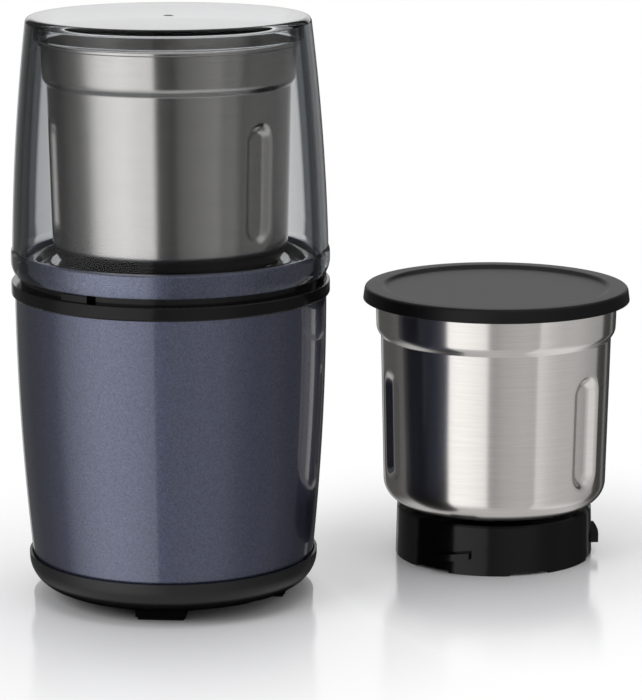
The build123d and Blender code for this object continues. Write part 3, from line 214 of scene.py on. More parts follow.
walls = add(tree, "ShaderNodeMix", links={
    0: ray["Is Transmission Ray"], 6: bands(seen_in_metal), 7: bands(seen_through_plastic)},
    data_type="RGBA")
print("bands in metal:", len(seen_in_metal), "through plastic:", len(seen_through_plastic))

# %% [markdown]
# ## Backdrop, ceiling and table
# The bands run straight up and down, and a real room ends above and below. A white paper backdrop
# stands behind the set, a pale ceiling closes the room above and a pale table below. Each is eased
# in by the direction of the ray, so no hard edge shows on the steel.

# %% Backdrop, ceiling and table
input_range = ("From Min", "From Max")
squarely_behind, above_horizon = (0.90, 0.96), (0.0, 0.06)
ceiling_starts, table_starts = (0.5, 0.8), (-0.45, -0.75)
backdrop_level, ceiling_level, table_level = 1.2, 0.9, 0.8

behind = add(tree, "ShaderNodeMapRange", dict(zip(input_range, squarely_behind)),
             {"Value": part["Y"]}, interpolation_type="SMOOTHSTEP")
above = add(tree, "ShaderNodeMapRange", dict(zip(input_range, above_horizon)),
            {"Value": part["Z"]}, interpolation_type="SMOOTHSTEP")
backdrop = add(tree, "ShaderNodeMath", links={0: behind.outputs[0], 1: above.outputs[0]},
               operation="MULTIPLY")
upright = add(tree, "ShaderNodeMix", {7: grey(backdrop_level)},
              {0: backdrop.outputs[0], 6: walls.outputs[2]}, data_type="RGBA")
overhead = add(tree, "ShaderNodeMapRange", dict(zip(input_range, ceiling_starts)),
               {"Value": part["Z"]}, interpolation_type="SMOOTHSTEP")
roofed = add(tree, "ShaderNodeMix", {7: grey(ceiling_level)},
             {0: overhead.outputs[0], 6: upright.outputs[2]}, data_type="RGBA")
underfoot = add(tree, "ShaderNodeMapRange", dict(zip(input_range, table_starts)),
                {"Value": part["Z"]}, interpolation_type="SMOOTHSTEP")
painted_room = add(tree, "ShaderNodeMix", {7: grey(table_level)},
                   {0: underfoot.outputs[0], 6: roofed.outputs[2]}, data_type="RGBA")
print("levels of backdrop, ceiling and table:", backdrop_level, ceiling_level, table_level)

# %% [markdown]
# ## Who sees the room
# If the painted room lit everything, matt plastic would take on its stripes too, and the camera
# would see the room behind the set instead of white paper. So only mirror and glass rays see the
# room. Matt surfaces get one even light, and the camera sees plain white.

# %% Light by kind of ray
even_level = 0.55
shiny = add(tree, "ShaderNodeMath",
            links={0: ray["Is Glossy Ray"], 1: ray["Is Transmission Ray"]}, operation="MAXIMUM")
matt = add(tree, "ShaderNodeMix", {6: grey(even_level)},
           {0: shiny.outputs[0], 7: painted_room.outputs[2]}, data_type="RGBA")
seen = add(tree, "ShaderNodeMix", {7: grey(1)}, {0: ray["Is Camera Ray"], 6: matt.outputs[2]},
           data_type="RGBA")
sky = add(tree, "ShaderNodeBackground", {"Strength": 1.0}, {"Color": seen.outputs[2]})
add(tree, "ShaderNodeOutputWorld", links={"Surface": sky.outputs[0]})
print("world nodes:", len(tree.nodes))

# %% [markdown]
# ## Lamps
# Small lamps would leave hard shadows. Three large, soft area lamps model the forms instead: one
# from the upper left, a weaker one from the right and one from straight above. They are hidden
# from mirror and glass rays, because the world already draws the softboxes that a shiny surface
# shows.

# %% Lamps
middle = Vector((0, 0, 0.11))


def softbox(name, place, size, watts):
    """A square area lamp aimed at the middle of the set."""
    lamp = bpy.data.lights.new(name, "AREA")
    lamp.size = size
    lamp.energy = watts
    lamp_object = bpy.data.objects.new(name, lamp)
    lamp_object.location = place
    lamp_object.rotation_euler = (middle - Vector(place)).to_track_quat("-Z", "Y").to_euler()
    lamp_object.visible_glossy = False
    lamp_object.visible_transmission = False
    bpy.context.scene.collection.objects.link(lamp_object)
    return lamp_object


softbox("Key", place=(-1.1, -0.9, 1.0), size=1.0, watts=14)
softbox("Fill", place=(1.2, -0.8, 0.8), size=1.2, watts=5)
softbox("Top", place=(0.0, 0.1, 1.5), size=1.4, watts=12)

# %% [markdown]
# ## Card beside the second bowl
# In a studio, a white card held next to a steel bowl gives it one more bright streak. A band in
# the world would put that streak on both bowls, so the card is a lamp of its own, upright on the
# right of the second bowl. Only mirror rays see it, and light linking, set once the bowl is
# there, keeps it off everything else.

# %% Card
card_level = 0.42
card_reach = 74 * MM
card_angle = math.radians(-27)
card_width, card_height = 90 * MM, 150 * MM
card_middle = 62 * MM
card = softbox("Card", place=spare_axis, size=card_width,
               watts=card_level * math.pi * card_width * card_height)
card.data.shape = "RECTANGLE"
card.data.size_y = card_height
card.location = spare_axis + Vector((card_reach * math.cos(card_angle),
                                     card_reach * math.sin(card_angle), card_middle))
card.rotation_euler = (math.pi / 2, 0, card_angle + math.pi / 2)
card.visible_glossy = True
card.visible_camera = False
card.visible_diffuse = False
print("card, watts:", round(card.data.energy, 4))

# %% [markdown]
# ## Floor
# The set stands on a pale glossy board that fades into white paper. An endless white plane would
# show no shadow edge but also no mirror image. A disc with two materials in one gives both: near
# the set it is a real surface, which takes the shadow and a faint mirror image, and further out it
# is simply white to the camera. It is hidden from mirror and glass rays, which see the room.

# %% Floor
floor_radius = 12
floor_mesh = bmesh.new()
bmesh.ops.create_circle(floor_mesh, cap_ends=True, radius=floor_radius, segments=64)
floor_data = bpy.data.meshes.new("Floor")
floor_mesh.to_mesh(floor_data)
floor_mesh.free()
floor = bpy.data.objects.new("Floor", floor_data)
bpy.context.scene.collection.objects.link(floor)
floor.visible_glossy = False
floor.visible_transmission = False
print("floor radius, m:", floor_radius)

# %% [markdown]
# ## Glossy board
# The board is white acrylic sheet with a polished face, which mirrors a dark foot but stays pale.
# Its index of 1.49 is raised to 1.8, so that the image of the foot shows at this flat angle. Around
# each axis it fades to pure white between two distances, because a real sheet's edge would cut
# across the view. Distances count more sideways than in depth, as the board looks foreshortened.

# %% Board material
paper = bpy.data.materials.new("Polished white acrylic board")
paper.use_nodes = True
tree = paper.node_tree
tree.nodes.clear()
ray = add(tree, "ShaderNodeLightPath").outputs
board = add(tree, "ShaderNodeBsdfPrincipled", {
    "Base Color": linear("#dcdcde"), "Roughness": 0.15, "IOR": 1.8})
white = add(tree, "ShaderNodeEmission", {"Color": grey(1), "Strength": 1.0})
sideways = Vector((1.3, 1, 1))
spot = add(tree, "ShaderNodeVectorMath", {1: sideways},
           {0: add(tree, "ShaderNodeTexCoord").outputs["Object"]}, operation="MULTIPLY")


def faded(axis, start, end):
    """How far the board has faded round an axis, between two distances in mm."""
    away = add(tree, "ShaderNodeVectorMath", {1: axis * sideways}, {0: spot.outputs[0]},
               operation="DISTANCE")
    fade = add(tree, "ShaderNodeMapRange", {"From Min": start * MM, "From Max": end * MM},
               {"Value": away.outputs["Value"]}, interpolation_type="SMOOTHSTEP")
    return fade.outputs[0]


grinder_fade, spare_fade = (50, 228), (85, 185)
fade = add(tree, "ShaderNodeMath", links={
    0: faded(grinder_axis, *grinder_fade), 1: faded(spare_axis, *spare_fade)}, operation="MINIMUM")
to_white = add(tree, "ShaderNodeMath", links={0: fade.outputs[0], 1: ray["Is Camera Ray"]},
               operation="MULTIPLY")
blend = add(tree, "ShaderNodeMixShader", links={
    0: to_white.outputs[0], 1: board.outputs[0], 2: white.outputs[0]})
add(tree, "ShaderNodeOutputMaterial", links={"Surface": blend.outputs[0]})
floor.data.materials.append(paper)
print("board is pure white from, mm:", grinder_fade[1], "and", spare_fade[1])

# %% [markdown]
# ## Mirror image in the board
# The board mirrors the grinder's foot, and the low skirt of the second bowl mirrors that image in
# turn as one upright dark band. The board is hidden from mirror rays, so this second reflection
# would be lost. A dark tube under the grinder, seen only by mirror rays, is a painted reflection.

# %% Mirror image
image_top, image_bottom = 6, -84
image_top_radius, image_bottom_radius = 57, 60
image_mesh = bmesh.new()
bmesh.ops.create_cone(image_mesh, cap_ends=True, segments=96, radius1=image_bottom_radius * MM,
                      radius2=image_top_radius * MM, depth=(image_top - image_bottom) * MM)
image_middle = Vector((0, 0, (image_top + image_bottom) / 2 * MM))
bmesh.ops.translate(image_mesh, verts=image_mesh.verts, vec=grinder_axis + image_middle)
image_data = bpy.data.meshes.new("Mirror_image")
image_mesh.to_mesh(image_data)
image_mesh.free()
mirror_image = bpy.data.objects.new("Mirror_image", image_data)
bpy.context.scene.collection.objects.link(mirror_image)
for rays in ("camera", "diffuse", "transmission", "volume_scatter", "shadow"):
    setattr(mirror_image, "visible_" + rays, False)
# Painted reflection: black for the dark mirror image of the grinder's foot
dark = bpy.data.materials.new("Painted reflection of the black foot")
dark.use_nodes = True
dark.node_tree.nodes["Principled BSDF"].inputs["Base Color"].default_value = linear("#0c0c0e")
image_data.materials.append(dark)
print("mirror image reaches down to, mm:", image_bottom)

# %% [markdown]
# ## A material to start from
# Every finish here is one Principled shader with a few texture nodes. An image of each surface
# could be wrapped round the piece, but it would need seams and would blur when seen close. Nodes
# work from Object coordinates, which have neither fault, and patterns are sized by the real size of
# a grain, a scratch or a flake. The helpers make what every finish shares, so each finish below
# says only what is its own.

# %% Finish helpers


def finish(name, **values):
    """A new material: returns it with its tree, its shader and the piece's own coordinates."""
    made = bpy.data.materials.new(name)
    made.use_nodes = True
    made.node_tree.nodes.clear()
    shader = add(made.node_tree, "ShaderNodeBsdfPrincipled", values)
    add(made.node_tree, "ShaderNodeOutputMaterial", links={"Surface": shader.outputs["BSDF"]})
    place = add(made.node_tree, "ShaderNodeTexCoord").outputs["Object"]
    return made, made.node_tree, shader, place


def grains(size):
    """The scale of a noise whose grains are a size in millimetres."""
    return 1 / (size * MM)


def link(tree, source, shader, socket):
    """Feeds a socket of the shader."""
    tree.links.new(source, shader.inputs[socket])


def grained(tree, shader, pattern, roughness, spread, strength, depth):
    """Lets a pattern vary the roughness by a share and raise a relief of a depth in mm."""
    gloss = add(tree, "ShaderNodeMapRange", {
        "To Min": roughness * (1 - spread), "To Max": roughness * (1 + spread)},
        {"Value": pattern})
    link(tree, gloss.outputs[0], shader, "Roughness")
    relief = add(tree, "ShaderNodeBump", {"Strength": strength, "Distance": depth * MM},
                 {"Height": pattern})
    link(tree, relief.outputs[0], shader, "Normal")


def shaded(tree, shader, pattern, colour, darkest, lightest, reach=(0.0, 1.0)):
    """Lets a pattern shade the base colour between two shares of it."""
    shade = add(tree, "ShaderNodeMapRange", {
        **dict(zip(input_range, reach)), "To Min": darkest, "To Max": lightest}, {"Value": pattern})
    tone = add(tree, "ShaderNodeVectorMath", {0: linear(colour)[:3]}, {"Scale": shade.outputs[0]},
               operation="SCALE")
    link(tree, tone.outputs[0], shader, "Base Color")


print("a 0.5 mm grain has scale", grains(0.5))

# %% [markdown]
# ## Metallic lacquer
# The sleeve is drawn sheet steel with a baked lacquer: a dark blue-grey base full of aluminium
# flakes, under a clear coat. A plain blue gloss would look like plastic. The flakes make a broad
# soft gleam that is coarser than the sharp mirror of the clear coat, so the shader is a rough metal
# under a smooth coat. Real flakes are about 0.05 mm across and would vanish at this distance, so
# they are drawn at 0.45 mm, as coarse as they need to be to show.

# %% Metallic lacquer
flake_size, cloud_size, flake_tilt = 0.45, 0.9, 0.03


def metallic_lacquer(name, deep, bright, coat, roughness=0.36):
    """Baked metallic lacquer on sheet steel: dark flakes and bright ones under a clear coat."""
    made, tree, shader, place = finish(name, **{
        "Metallic": 0.92, "Roughness": roughness, "Coat Weight": coat, "Coat Roughness": 0.03,
        "Coat IOR": 1.5})
    flakes = add(tree, "ShaderNodeTexVoronoi", {"Scale": grains(flake_size)}, {"Vector": place})
    cloud = add(tree, "ShaderNodeTexNoise", {"Scale": grains(cloud_size), "Detail": 3.0},
                {"Vector": place})
    speck = add(tree, "ShaderNodeMath", {1: 0.5}, {0: flakes.outputs["Color"]},
                operation="MULTIPLY")
    both = add(tree, "ShaderNodeMath", {1: 0.5, 2: 0.0},
               {0: cloud.outputs["Fac"], 2: speck.outputs[0]}, operation="MULTIPLY_ADD")
    colour = add(tree, "ShaderNodeMix", {6: linear(deep), 7: linear(bright)},
                 {0: both.outputs[0]}, data_type="RGBA")
    link(tree, colour.outputs[2], shader, "Base Color")
    tilt = add(tree, "ShaderNodeBump", {"Strength": 0.08, "Distance": flake_tilt * MM},
               {"Height": flakes.outputs["Color"]})
    link(tree, tilt.outputs[0], shader, "Normal")
    return made


# A slate-blue gleam that changes with the light, and sharp mirrored edges over it
blue_lacquer = metallic_lacquer("Blue metallic baked lacquer", "#23263a", "#565b72", 1.0)
# The same paint with a duller coat, its colours made paler as painted light, so behind the clear
# plastic it shows as bright as the sleeve
band_lacquer_painted_lighter = metallic_lacquer("Blue metallic lacquer on the band, painted lighter", "#50536a", "#9095ad", 0.6,
                                roughness=0.42)
print("lacquers:", blue_lacquer.name, "and", band_lacquer_painted_lighter.name)

# %% [markdown]
# ## Moulded plastics
# The tray, collar, deck and skirts are injection-moulded ABS, and the cover is polypropylene. The
# mould's polish decides the finish: a spark-eroded mould leaves a fine satin grain, a polished one
# a near mirror. A flat black would look the same everywhere, so a noise varies the gloss and raises
# a low relief. A mould's grain is some 0.05 mm and too fine to show here, so it is drawn at 0.5 mm.

# %% Moulded plastic


def moulded(name, colour, roughness, grain=0.5, depth=0.01, ior=1.53, mirror=0.5):
    """Injection-moulded plastic with the grain that its mould left."""
    made, tree, shader, place = finish(name, **{
        "Base Color": linear(colour), "IOR": ior, "Specular IOR Level": mirror})
    texture = add(tree, "ShaderNodeTexNoise", {"Scale": grains(grain), "Detail": 4.0},
                  {"Vector": place})
    grained(tree, shader, texture.outputs["Fac"], roughness, spread=0.15, strength=0.5, depth=depth)
    return made


# Broad soft highlights on a deep black
satin_abs = moulded("Black ABS from a satin mould", "#0e0e10", 0.36, depth=0.012, mirror=0.3)
# Thin bright lines at the edges and an almost black face
gloss_abs = moulded("Black ABS from a polished mould", "#070708", 0.14, grain=2.0, depth=0.003,
                    mirror=0.16)
# An even, slightly greasy black with hardly a highlight
cover_abs = moulded("Black polypropylene from a satin mould", "#0c0c0d", 0.42, depth=0.010,
                    mirror=0.15)
print("black plastics:", [m.name for m in (satin_abs, gloss_abs, cover_abs)])

# %% [markdown]
# ## Rubber, nylon and resin
# Foot pads, dampers, guides, leads and the capacitor's case differ from ABS in colour and softness
# but come out of moulds too. So they take the same recipe with another grain size, roughness and
# depth, rather than recipes of their own.

# %% Rubber, nylon and resin
# Dull and dry, as rubber breaks the light up at once
black_rubber = moulded("Black rubber", "#161616", 0.62, grain=0.8, depth=0.03, ior=1.5)
# Milky and soft to the eye
white_rubber = moulded("White silicone rubber", "#dcdcd6", 0.55, grain=0.8, depth=0.02, ior=1.42)
# Warm off-white, as undyed nylon is, and the same dyed black
white_nylon = moulded("White nylon", "#e6e3da", 0.42, ior=1.53)
black_nylon = moulded("Black nylon", "#151517", 0.40, ior=1.53)
# The slight sheen of a pressed-on sheath
lead_pvc = moulded("Grey PVC sheath of the leads", "#5c5f63", 0.45, ior=1.53)
# A hard, cast shell with rounded highlights
capacitor_epoxy = moulded("Yellow epoxy case of the capacitor", "#c9a53a", 0.38, ior=1.55)
print("softest and hardest:", black_rubber.name, "and", capacitor_epoxy.name)

# %% [markdown]
# ## Clear dome plastic
# The dome is a thick clear moulding of styrene acrylonitrile, SAN for short. It bends light
# strongly near its edges, where the eye looks along the wall, so the edges go dark while the middle
# stays clear. The shader's own refraction gives most of that: an index of 1.57 is usual for this
# plastic, and 1.44 gives the dark edges their real width. An absorbing volume takes long to render.
# The rest is painted shade and light: a Layer Weight node darkens the base colour where the wall is
# seen at a slant, with a paler painted band between the dark ones, for the room that the wall
# bends.

# %% Clear plastic
dome_ior = 1.44
clear_san, tree, shader, place = finish("Clear SAN moulding", **{
    "Roughness": 0.0, "IOR": dome_ior, "Transmission Weight": 1.0,
    "Specular Tint": linear("#7c7c7c")})
# Painted shade: the base colour goes dark where the wall is seen at a slant, with a paler painted
# band between the dark ones
edge = add(tree, "ShaderNodeLayerWeight", {"Blend": 0.5})
painted_edge_shade = add(tree, "ShaderNodeValToRGB", links={"Fac": edge.outputs["Facing"]})
painted_shade_by_slant = [(0.0, "#f8f9fa"), (0.535, "#f0f2f3"), (0.575, "#3a3e42"), (0.63, "#3a3e42"),
                 (0.68, "#54585c"), (0.73, "#909396"), (0.80, "#a0a3a6"), (0.90, "#4a4e52"),
                 (1.0, "#4a4e52")]
set_stops(painted_edge_shade, [(slant, linear(colour)) for slant, colour in painted_shade_by_slant])
link(tree, painted_edge_shade.outputs[0], shader, "Base Color")
print("dome IOR:", dome_ior, "tints by slant:", len(painted_shade_by_slant))

# %% [markdown]
# ## Brushed stainless steel
# The cups are deep-drawn stainless steel, polished round and round with a fine abrasive belt. The
# scratches run round the cup, so light smears up and down, across them. A plain blur would smear it
# every way, so the shader is anisotropic, and the direction of the scratches is worked out from the
# cup's axis, which leaves no seam. A noise squeezed flat in height draws the streaks themselves.
# Belt scratches are some 0.02 mm wide and are drawn 0.25 mm wide, as coarse as they need to show.

# %% Brushed stainless steel
streak_length, streak_height = 18, 0.25


def brushed_stainless(name, colour, axis, roughness):
    """Stainless steel brushed round an upright axis."""
    made, tree, shader, place = finish(name, **{
        "Metallic": 1.0, "Anisotropic": 0.7, "Anisotropic Rotation": 0.25})
    centred = add(tree, "ShaderNodeMapping", {"Location": (-axis.x, -axis.y, 0)},
                  {"Vector": place})
    round_about = add(tree, "ShaderNodeVectorMath", {0: (0, 0, 1)},
                      {1: centred.outputs[0]}, operation="CROSS_PRODUCT")
    along = add(tree, "ShaderNodeVectorMath", links={0: round_about.outputs[0]},
                operation="NORMALIZE")
    link(tree, along.outputs[0], shader, "Tangent")
    flat = add(tree, "ShaderNodeMapping", {
        "Scale": (grains(streak_length), grains(streak_length), grains(streak_height))},
        {"Vector": centred.outputs[0]})
    streaks = add(tree, "ShaderNodeTexNoise", {"Scale": 1.0, "Detail": 5.0, "Roughness": 0.65},
                  {"Vector": flat.outputs[0]})
    shaded(tree, shader, streaks.outputs["Fac"], colour, 0.92, 1.03, reach=(0.3, 0.7))
    grained(tree, shader, streaks.outputs["Fac"], roughness, spread=0.2, strength=0.12, depth=0.004)
    return made


# Soft upright bands of the room, with a fine level grain across them
cup_steel = brushed_stainless("Brushed stainless steel of the bowl", "#c4c1be", grinder_axis, 0.2)
spare_cup_steel = brushed_stainless("Brushed stainless steel of the second bowl", "#bfbcb9",
                                    spare_axis, 0.2)
print("streaks, mm:", streak_length, "long and", streak_height, "high")

# %% [markdown]
# ## Other metals
# The blades are ground, screws and springs are plated, brackets are cast and bearings are
# sintered. None of these has a grain direction that shows, so one recipe with a grain size, a
# roughness and a depth serves them all. Their real grain and pores are 0.02 to 0.1 mm, drawn at 0.4
# to 1.2 mm, as coarse as they need to show.

# %% Plain metals


def plain_metal(name, colour, roughness, grain=0.6, depth=0.004):
    """A metal with no grain direction: plated, cast, ground or sintered."""
    made, tree, shader, place = finish(name, **{"Metallic": 1.0, "Base Color": linear(colour)})
    texture = add(tree, "ShaderNodeTexNoise", {"Scale": grains(grain), "Detail": 4.0},
                  {"Vector": place})
    grained(tree, shader, texture.outputs["Fac"], roughness, spread=0.25, strength=0.4, depth=depth)
    return made


# A cool, nearly clear mirror
blade_steel = plain_metal("Ground stainless steel of the blades", "#c4c3c1", 0.24)
# A slightly milky grey
zinc_steel = plain_metal("Zinc-plated steel", "#b4b6b8", 0.32)
# Matt and faintly pebbled, as the casting skin is
die_cast = plain_metal("Die-cast aluminium", "#a3a5a6", 0.5, grain=1.2, depth=0.02)
# Brown and porous
bronze = plain_metal("Sintered bronze", "#9a7443", 0.42, grain=0.4, depth=0.01)
# Warm and smooth, as the brushes keep it
bar_copper = plain_metal("Hard copper of the commutator", "#c27a4e", 0.28)
print("plain metals:", [m.name for m in (blade_steel, zinc_steel, die_cast, bronze, bar_copper)])

# %% [markdown]
# ## Motor finishes
# The motor is hidden, but someone who opens the housing should find the right surfaces: stacked
# steel sheets 0.5 mm thick, enamelled copper wire and pressed carbon. Real sheets would be dozens
# of thin discs. A Wave texture along the height gives their edges, and the turns of the wire,
# without any of that.

# %% Motor finishes


def layered(name, colour, roughness, pitch, metallic):
    """Sheets or turns of wire, one above the next at a pitch in millimetres."""
    made, tree, shader, place = finish(name, **{
        "Metallic": metallic, "Roughness": roughness, "IOR": 1.5})
    # At a scale of 1 the Wave texture repeats 20 / (2 pi) times in each unit of length
    wave = add(tree, "ShaderNodeTexWave", {"Scale": grains(pitch) * 2 * math.pi / 20},
               {"Vector": place}, bands_direction="Z", wave_profile="SIN")
    shaded(tree, shader, wave.outputs["Fac"], colour, 0.55, 1.0)
    relief = add(tree, "ShaderNodeBump", {"Strength": 0.6, "Distance": 0.1 * MM},
                 {"Height": wave.outputs["Fac"]})
    link(tree, relief.outputs[0], shader, "Normal")
    return made


# Fine level lines on grey steel
sheet_steel = layered("Stacked electrical steel sheets", "#8b8d90", 0.45, pitch=0.5, metallic=1.0)
# Glossy red-brown turns, side by side
copper_wire = layered("Enamelled copper wire", "#a8552a", 0.3, pitch=0.6, metallic=0.8)
# Dark grey with a dusty sheen
pressed_carbon = moulded("Pressed carbon", "#1d1d1e", 0.5, grain=0.3, depth=0.01)
print("motor finishes:", [m.name for m in (sheet_steel, copper_wire, pressed_carbon)])

# %% [markdown]
# ## Dressing the CAD nodes
# Each CAD node carries the name of its finish in the record. Sixty nodes could be painted one by
# one, but a table from those names to the materials above dresses them all at once, so nothing is
# left plain. Later cells replace the nodes that deserve a smoother shape.

# %% Dress the nodes
finishes = {
    "black_abs": satin_abs, "black_abs_gloss": gloss_abs, "blue_paint": blue_lacquer,
    "blue_band": band_lacquer_painted_lighter, "clear_lid": clear_san, "steel_bowl": cup_steel,
    "steel_blade": blade_steel, "steel_plain": zinc_steel, "rubber_black": black_rubber,
    "rubber_white": white_rubber, "nylon_white": white_nylon, "nylon_black": black_nylon,
    "lamination": sheet_steel, "copper": copper_wire, "copper_bars": bar_copper,
    "bush_bronze": bronze, "carbon": pressed_carbon, "bracket_alloy": die_cast,
    "capacitor_case": capacitor_epoxy, "lead_sheath": lead_pvc,
}
slot_names = {piece["node"]: piece["material_slot"] for piece in frame["record"]["subparts"]}
body_names = {node: body for body, nodes in frame["record"]["behaviour"]["bodies"].items()
              for node in nodes}
for node, cad_object in frame["nodes"].items():
    for slot in cad_object.material_slots:
        slot.link = "OBJECT"
        slot.material = finishes[slot_names[node]]
print("dressed nodes:", len(frame["nodes"]), "in", len(finishes), "finishes")

# %% [markdown]
# ## A lathe
# Most of the shells are round, so each starts as an outline of corners, given as radius and height
# in millimetres, and the spin operator turns it about the axis. A stack of cylinders would need a
# join at every step. A corner may carry a rounding, which the bevel operator cuts after the
# turning, because a rounded edge catches a thin line of light and a sharp one doesn't.

# %% Lathe
lathe_steps = 192


def round_ring(shape, radius, height, rounding):
    """Rounds the ring of edges at a radius and a height."""
    near = 0.02 * MM

    def on_ring(vert):
        return (abs(vert.co.xy.length - radius * MM) < near
                and abs(vert.co.z - height * MM) < near)
    edges = [e for e in shape.edges if on_ring(e.verts[0]) and on_ring(e.verts[1])]
    bmesh.ops.bevel(shape, geom=edges, offset=rounding * MM, offset_type="OFFSET",
                    segments=max(3, round(rounding * 2)), profile=0.5, affect="EDGES",
                    material=-1, clamp_overlap=True)


def lathe(corners, steps=lathe_steps):
    """Turns a closed outline of (radius, height) or (radius, height, rounding) about the axis."""
    shape = bmesh.new()
    ring = [shape.verts.new((corner[0] * MM, 0, corner[1] * MM)) for corner in corners]
    edges = [shape.edges.new((a, b)) for a, b in zip(ring, ring[1:] + ring[:1])
             if a.co.x > 0 or b.co.x > 0]
    bmesh.ops.spin(shape, geom=ring + edges, cent=(0, 0, 0), axis=(0, 0, 1),
                   angle=2 * math.pi, steps=steps, use_merge=True)
    bmesh.ops.remove_doubles(shape, verts=shape.verts, dist=0.002 * MM)
    for rounding in sorted({corner[2] for corner in corners if len(corner) == 3}):
        for corner in corners:
            if len(corner) == 3 and corner[2] == rounding:
                round_ring(shape, corner[0], corner[1], rounding)
    bmesh.ops.recalc_face_normals(shape, faces=shape.faces)
    return shape


print("a turn of the lathe has steps:", lathe_steps)

# %% [markdown]
# ## Bowed walls
# The sleeve and the dome swell and lean in one gentle curve. A Bezier curve could draw it, but its
# handles say nothing about sizes. A parabola through three measured points of the wall does, and
# its corners go into the outline like any others.

# %% Bowed walls
wall_corners = 15


def bowed(low, middle, high, count):
    """Corners on the gently bowed wall line through three (radius, height) points."""
    (r0, z0), (r1, z1), (r2, z2) = low, middle, high
    corners = []
    for i in range(count):
        z = z0 + (z2 - z0) * i / (count - 1)
        r = (r0 * (z - z1) * (z - z2) / ((z0 - z1) * (z0 - z2))
             + r1 * (z - z0) * (z - z2) / ((z1 - z0) * (z1 - z2))
             + r2 * (z - z0) * (z - z1) / ((z2 - z0) * (z2 - z1)))
        corners.append((r, z))
    return corners


print("corners on a bowed wall:", wall_corners)

# %% [markdown]
# ## Setting a piece down
# A finished shape becomes an object at the origin with its place in its mesh, as the CAD nodes have
# it. Smooth shading hides the flats between the corners, an edge sharper than a given angle stays
# crisp, and a Weighted Normal modifier lets the large faces lead, so flat tops stay flat. A piece
# that stands for a CAD node takes over its body, takes the material it is given and hides the node.

# %% Set down


def set_down(shape, name, place, material, node, sharp=32):
    """Puts a finished shape in its place as an object that stands for a CAD node."""
    bmesh.ops.translate(shape, verts=shape.verts, vec=place)
    for face in shape.faces:
        face.smooth = True
    for edge in shape.edges:
        edge.smooth = edge.calc_face_angle(math.pi) < math.radians(sharp)
    mesh = bpy.data.meshes.new(name)
    shape.to_mesh(mesh)
    shape.free()
    mesh.materials.append(material)
    piece = bpy.data.objects.new(name, mesh)
    bpy.context.scene.collection.objects.link(piece)
    flats_first = piece.modifiers.new("Flat faces lead the shading", "WEIGHTED_NORMAL")
    flats_first.keep_sharp = True
    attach(piece, body_names[node])
    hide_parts(node)
    print(name, len(mesh.polygons), "faces on", body_names[node])
    return piece


print("bodies:", sorted(set(body_names.values())))

# %% [markdown]
# ## Painted sleeve
# The sleeve is a sheet-steel tube 1.2 mm thick that swells from the foot to the collar in one
# gentle bow, and any flat would show at once in its gloss. A Subdivision Surface would round it but
# also pull in its ends. Fifteen corners on each wall line give the bow, and smooth shading carries
# the reflections between them.

# %% Sleeve
sleeve_wall = 1.2
sleeve_foot, sleeve_middle, sleeve_top = (56.9, 15.0), (61.05, 68.14), (62.6, 125.7)
sleeve_line = bowed(sleeve_foot, sleeve_middle, sleeve_top, wall_corners)
sleeve_inside = [(radius - sleeve_wall, height) for radius, height in reversed(sleeve_line)]
set_down(lathe(sleeve_line + sleeve_inside), "Painted_sleeve", grinder_axis, blue_lacquer,
         "housing_shell")

# %% [markdown]
# ## Painted band
# A short ring in the same lacquer stands round the deck, inside the dome's lip. It is seen through
# two walls of clear plastic, so its rounded upper edge matters more than its texture. Four corners
# turned on the lathe are all that it needs.

# %% Band
band_inside, band_outside = 57.6, 60.2
band_low, band_high, band_rounding = 133.2, 141.2, 0.6
band_outline = [(band_inside, band_low), (band_outside, band_low),
                (band_outside, band_high, band_rounding), (band_inside, band_high, band_rounding)]
set_down(lathe(band_outline), "Painted_band", grinder_axis, band_lacquer_painted_lighter, "deck_band")

# %% [markdown]
# ## Dome lid
# The dome is one thick moulding: a straight lip with a well-rounded foot, a wall that leans in
# towards a flat top, a ring under the ceiling that holds the bowl's rim, and the small dimple in
# the top where the plastic entered the mould. A single skin would bend the light only once. Glass
# needs a true wall, so the outline goes down the outside and up the inside, 2.8 mm apart.

# %% Dome walls
dome_wall = 2.8
dome_foot, dome_waist, dome_brow = (63.4, 143.3), (61.2, 188.05), (56.85, 232.8)
dome_ceiling = 232.6
shoulder_width, shoulder_height = 2.5, 2.6
dome_outside = bowed(dome_foot, dome_waist, dome_brow, wall_corners)
dome_inside = bowed((dome_foot[0] - dome_wall, dome_foot[1]),
                    (dome_waist[0] - dome_wall, dome_waist[1]),
                    (dome_brow[0] - dome_wall, dome_ceiling), wall_corners)
shoulder = [(dome_brow[0] - shoulder_width * (1 - math.cos(a)),
             dome_brow[1] + shoulder_height * math.sin(a))
            for a in (math.radians(10 * i) for i in range(1, 9))]
dome_top = dome_brow[1] + shoulder_height
print("dome top, mm:", round(dome_top, 2), "corners on its shoulder:", len(shoulder))

# %% [markdown]
# ## Dome in one outline
# The lip steps out below the wall and hides the painted band. The gate dimple is a small cone with
# a flat floor. Clear plastic lets light through that the renderer would block for matt surfaces,
# which would leave the bowl under a dark shadow, so the dome casts none.

# %% Dome
lip_inside, lip_outside, lip_low, lip_high = 61.2, 64.0, 132.6, 141.9
lip = [(lip_inside, lip_low, 0.3), (62.4, lip_low, 0.8), (lip_outside, 136.2, 1.6),
       (lip_outside, lip_high, 0.8)]
gate_radius, gate_floor_radius, gate_depth = 2.1, 0.6, 1.4
gate_floor = dome_top - gate_depth
top_face = [(dome_brow[0] - shoulder_width, dome_top), (gate_radius, dome_top),
            (gate_floor_radius, gate_floor), (0, gate_floor)]
ring_inside, ring_outside, ring_foot = 52.3, 53.6, 227.0
ceiling_face = [(0, dome_ceiling), (ring_inside, dome_ceiling, 0.8), (ring_inside, ring_foot, 0.5),
                (ring_outside, ring_foot, 0.5), (ring_outside, dome_ceiling)]
dome_outline = (lip + dome_outside + shoulder + top_face + ceiling_face
                + list(reversed(dome_inside)) + [(lip_inside, lip_high)])
dome = set_down(lathe(dome_outline, steps=256), "Clear_dome", grinder_axis, clear_san, "dome_lid")
dome.visible_shadow = False

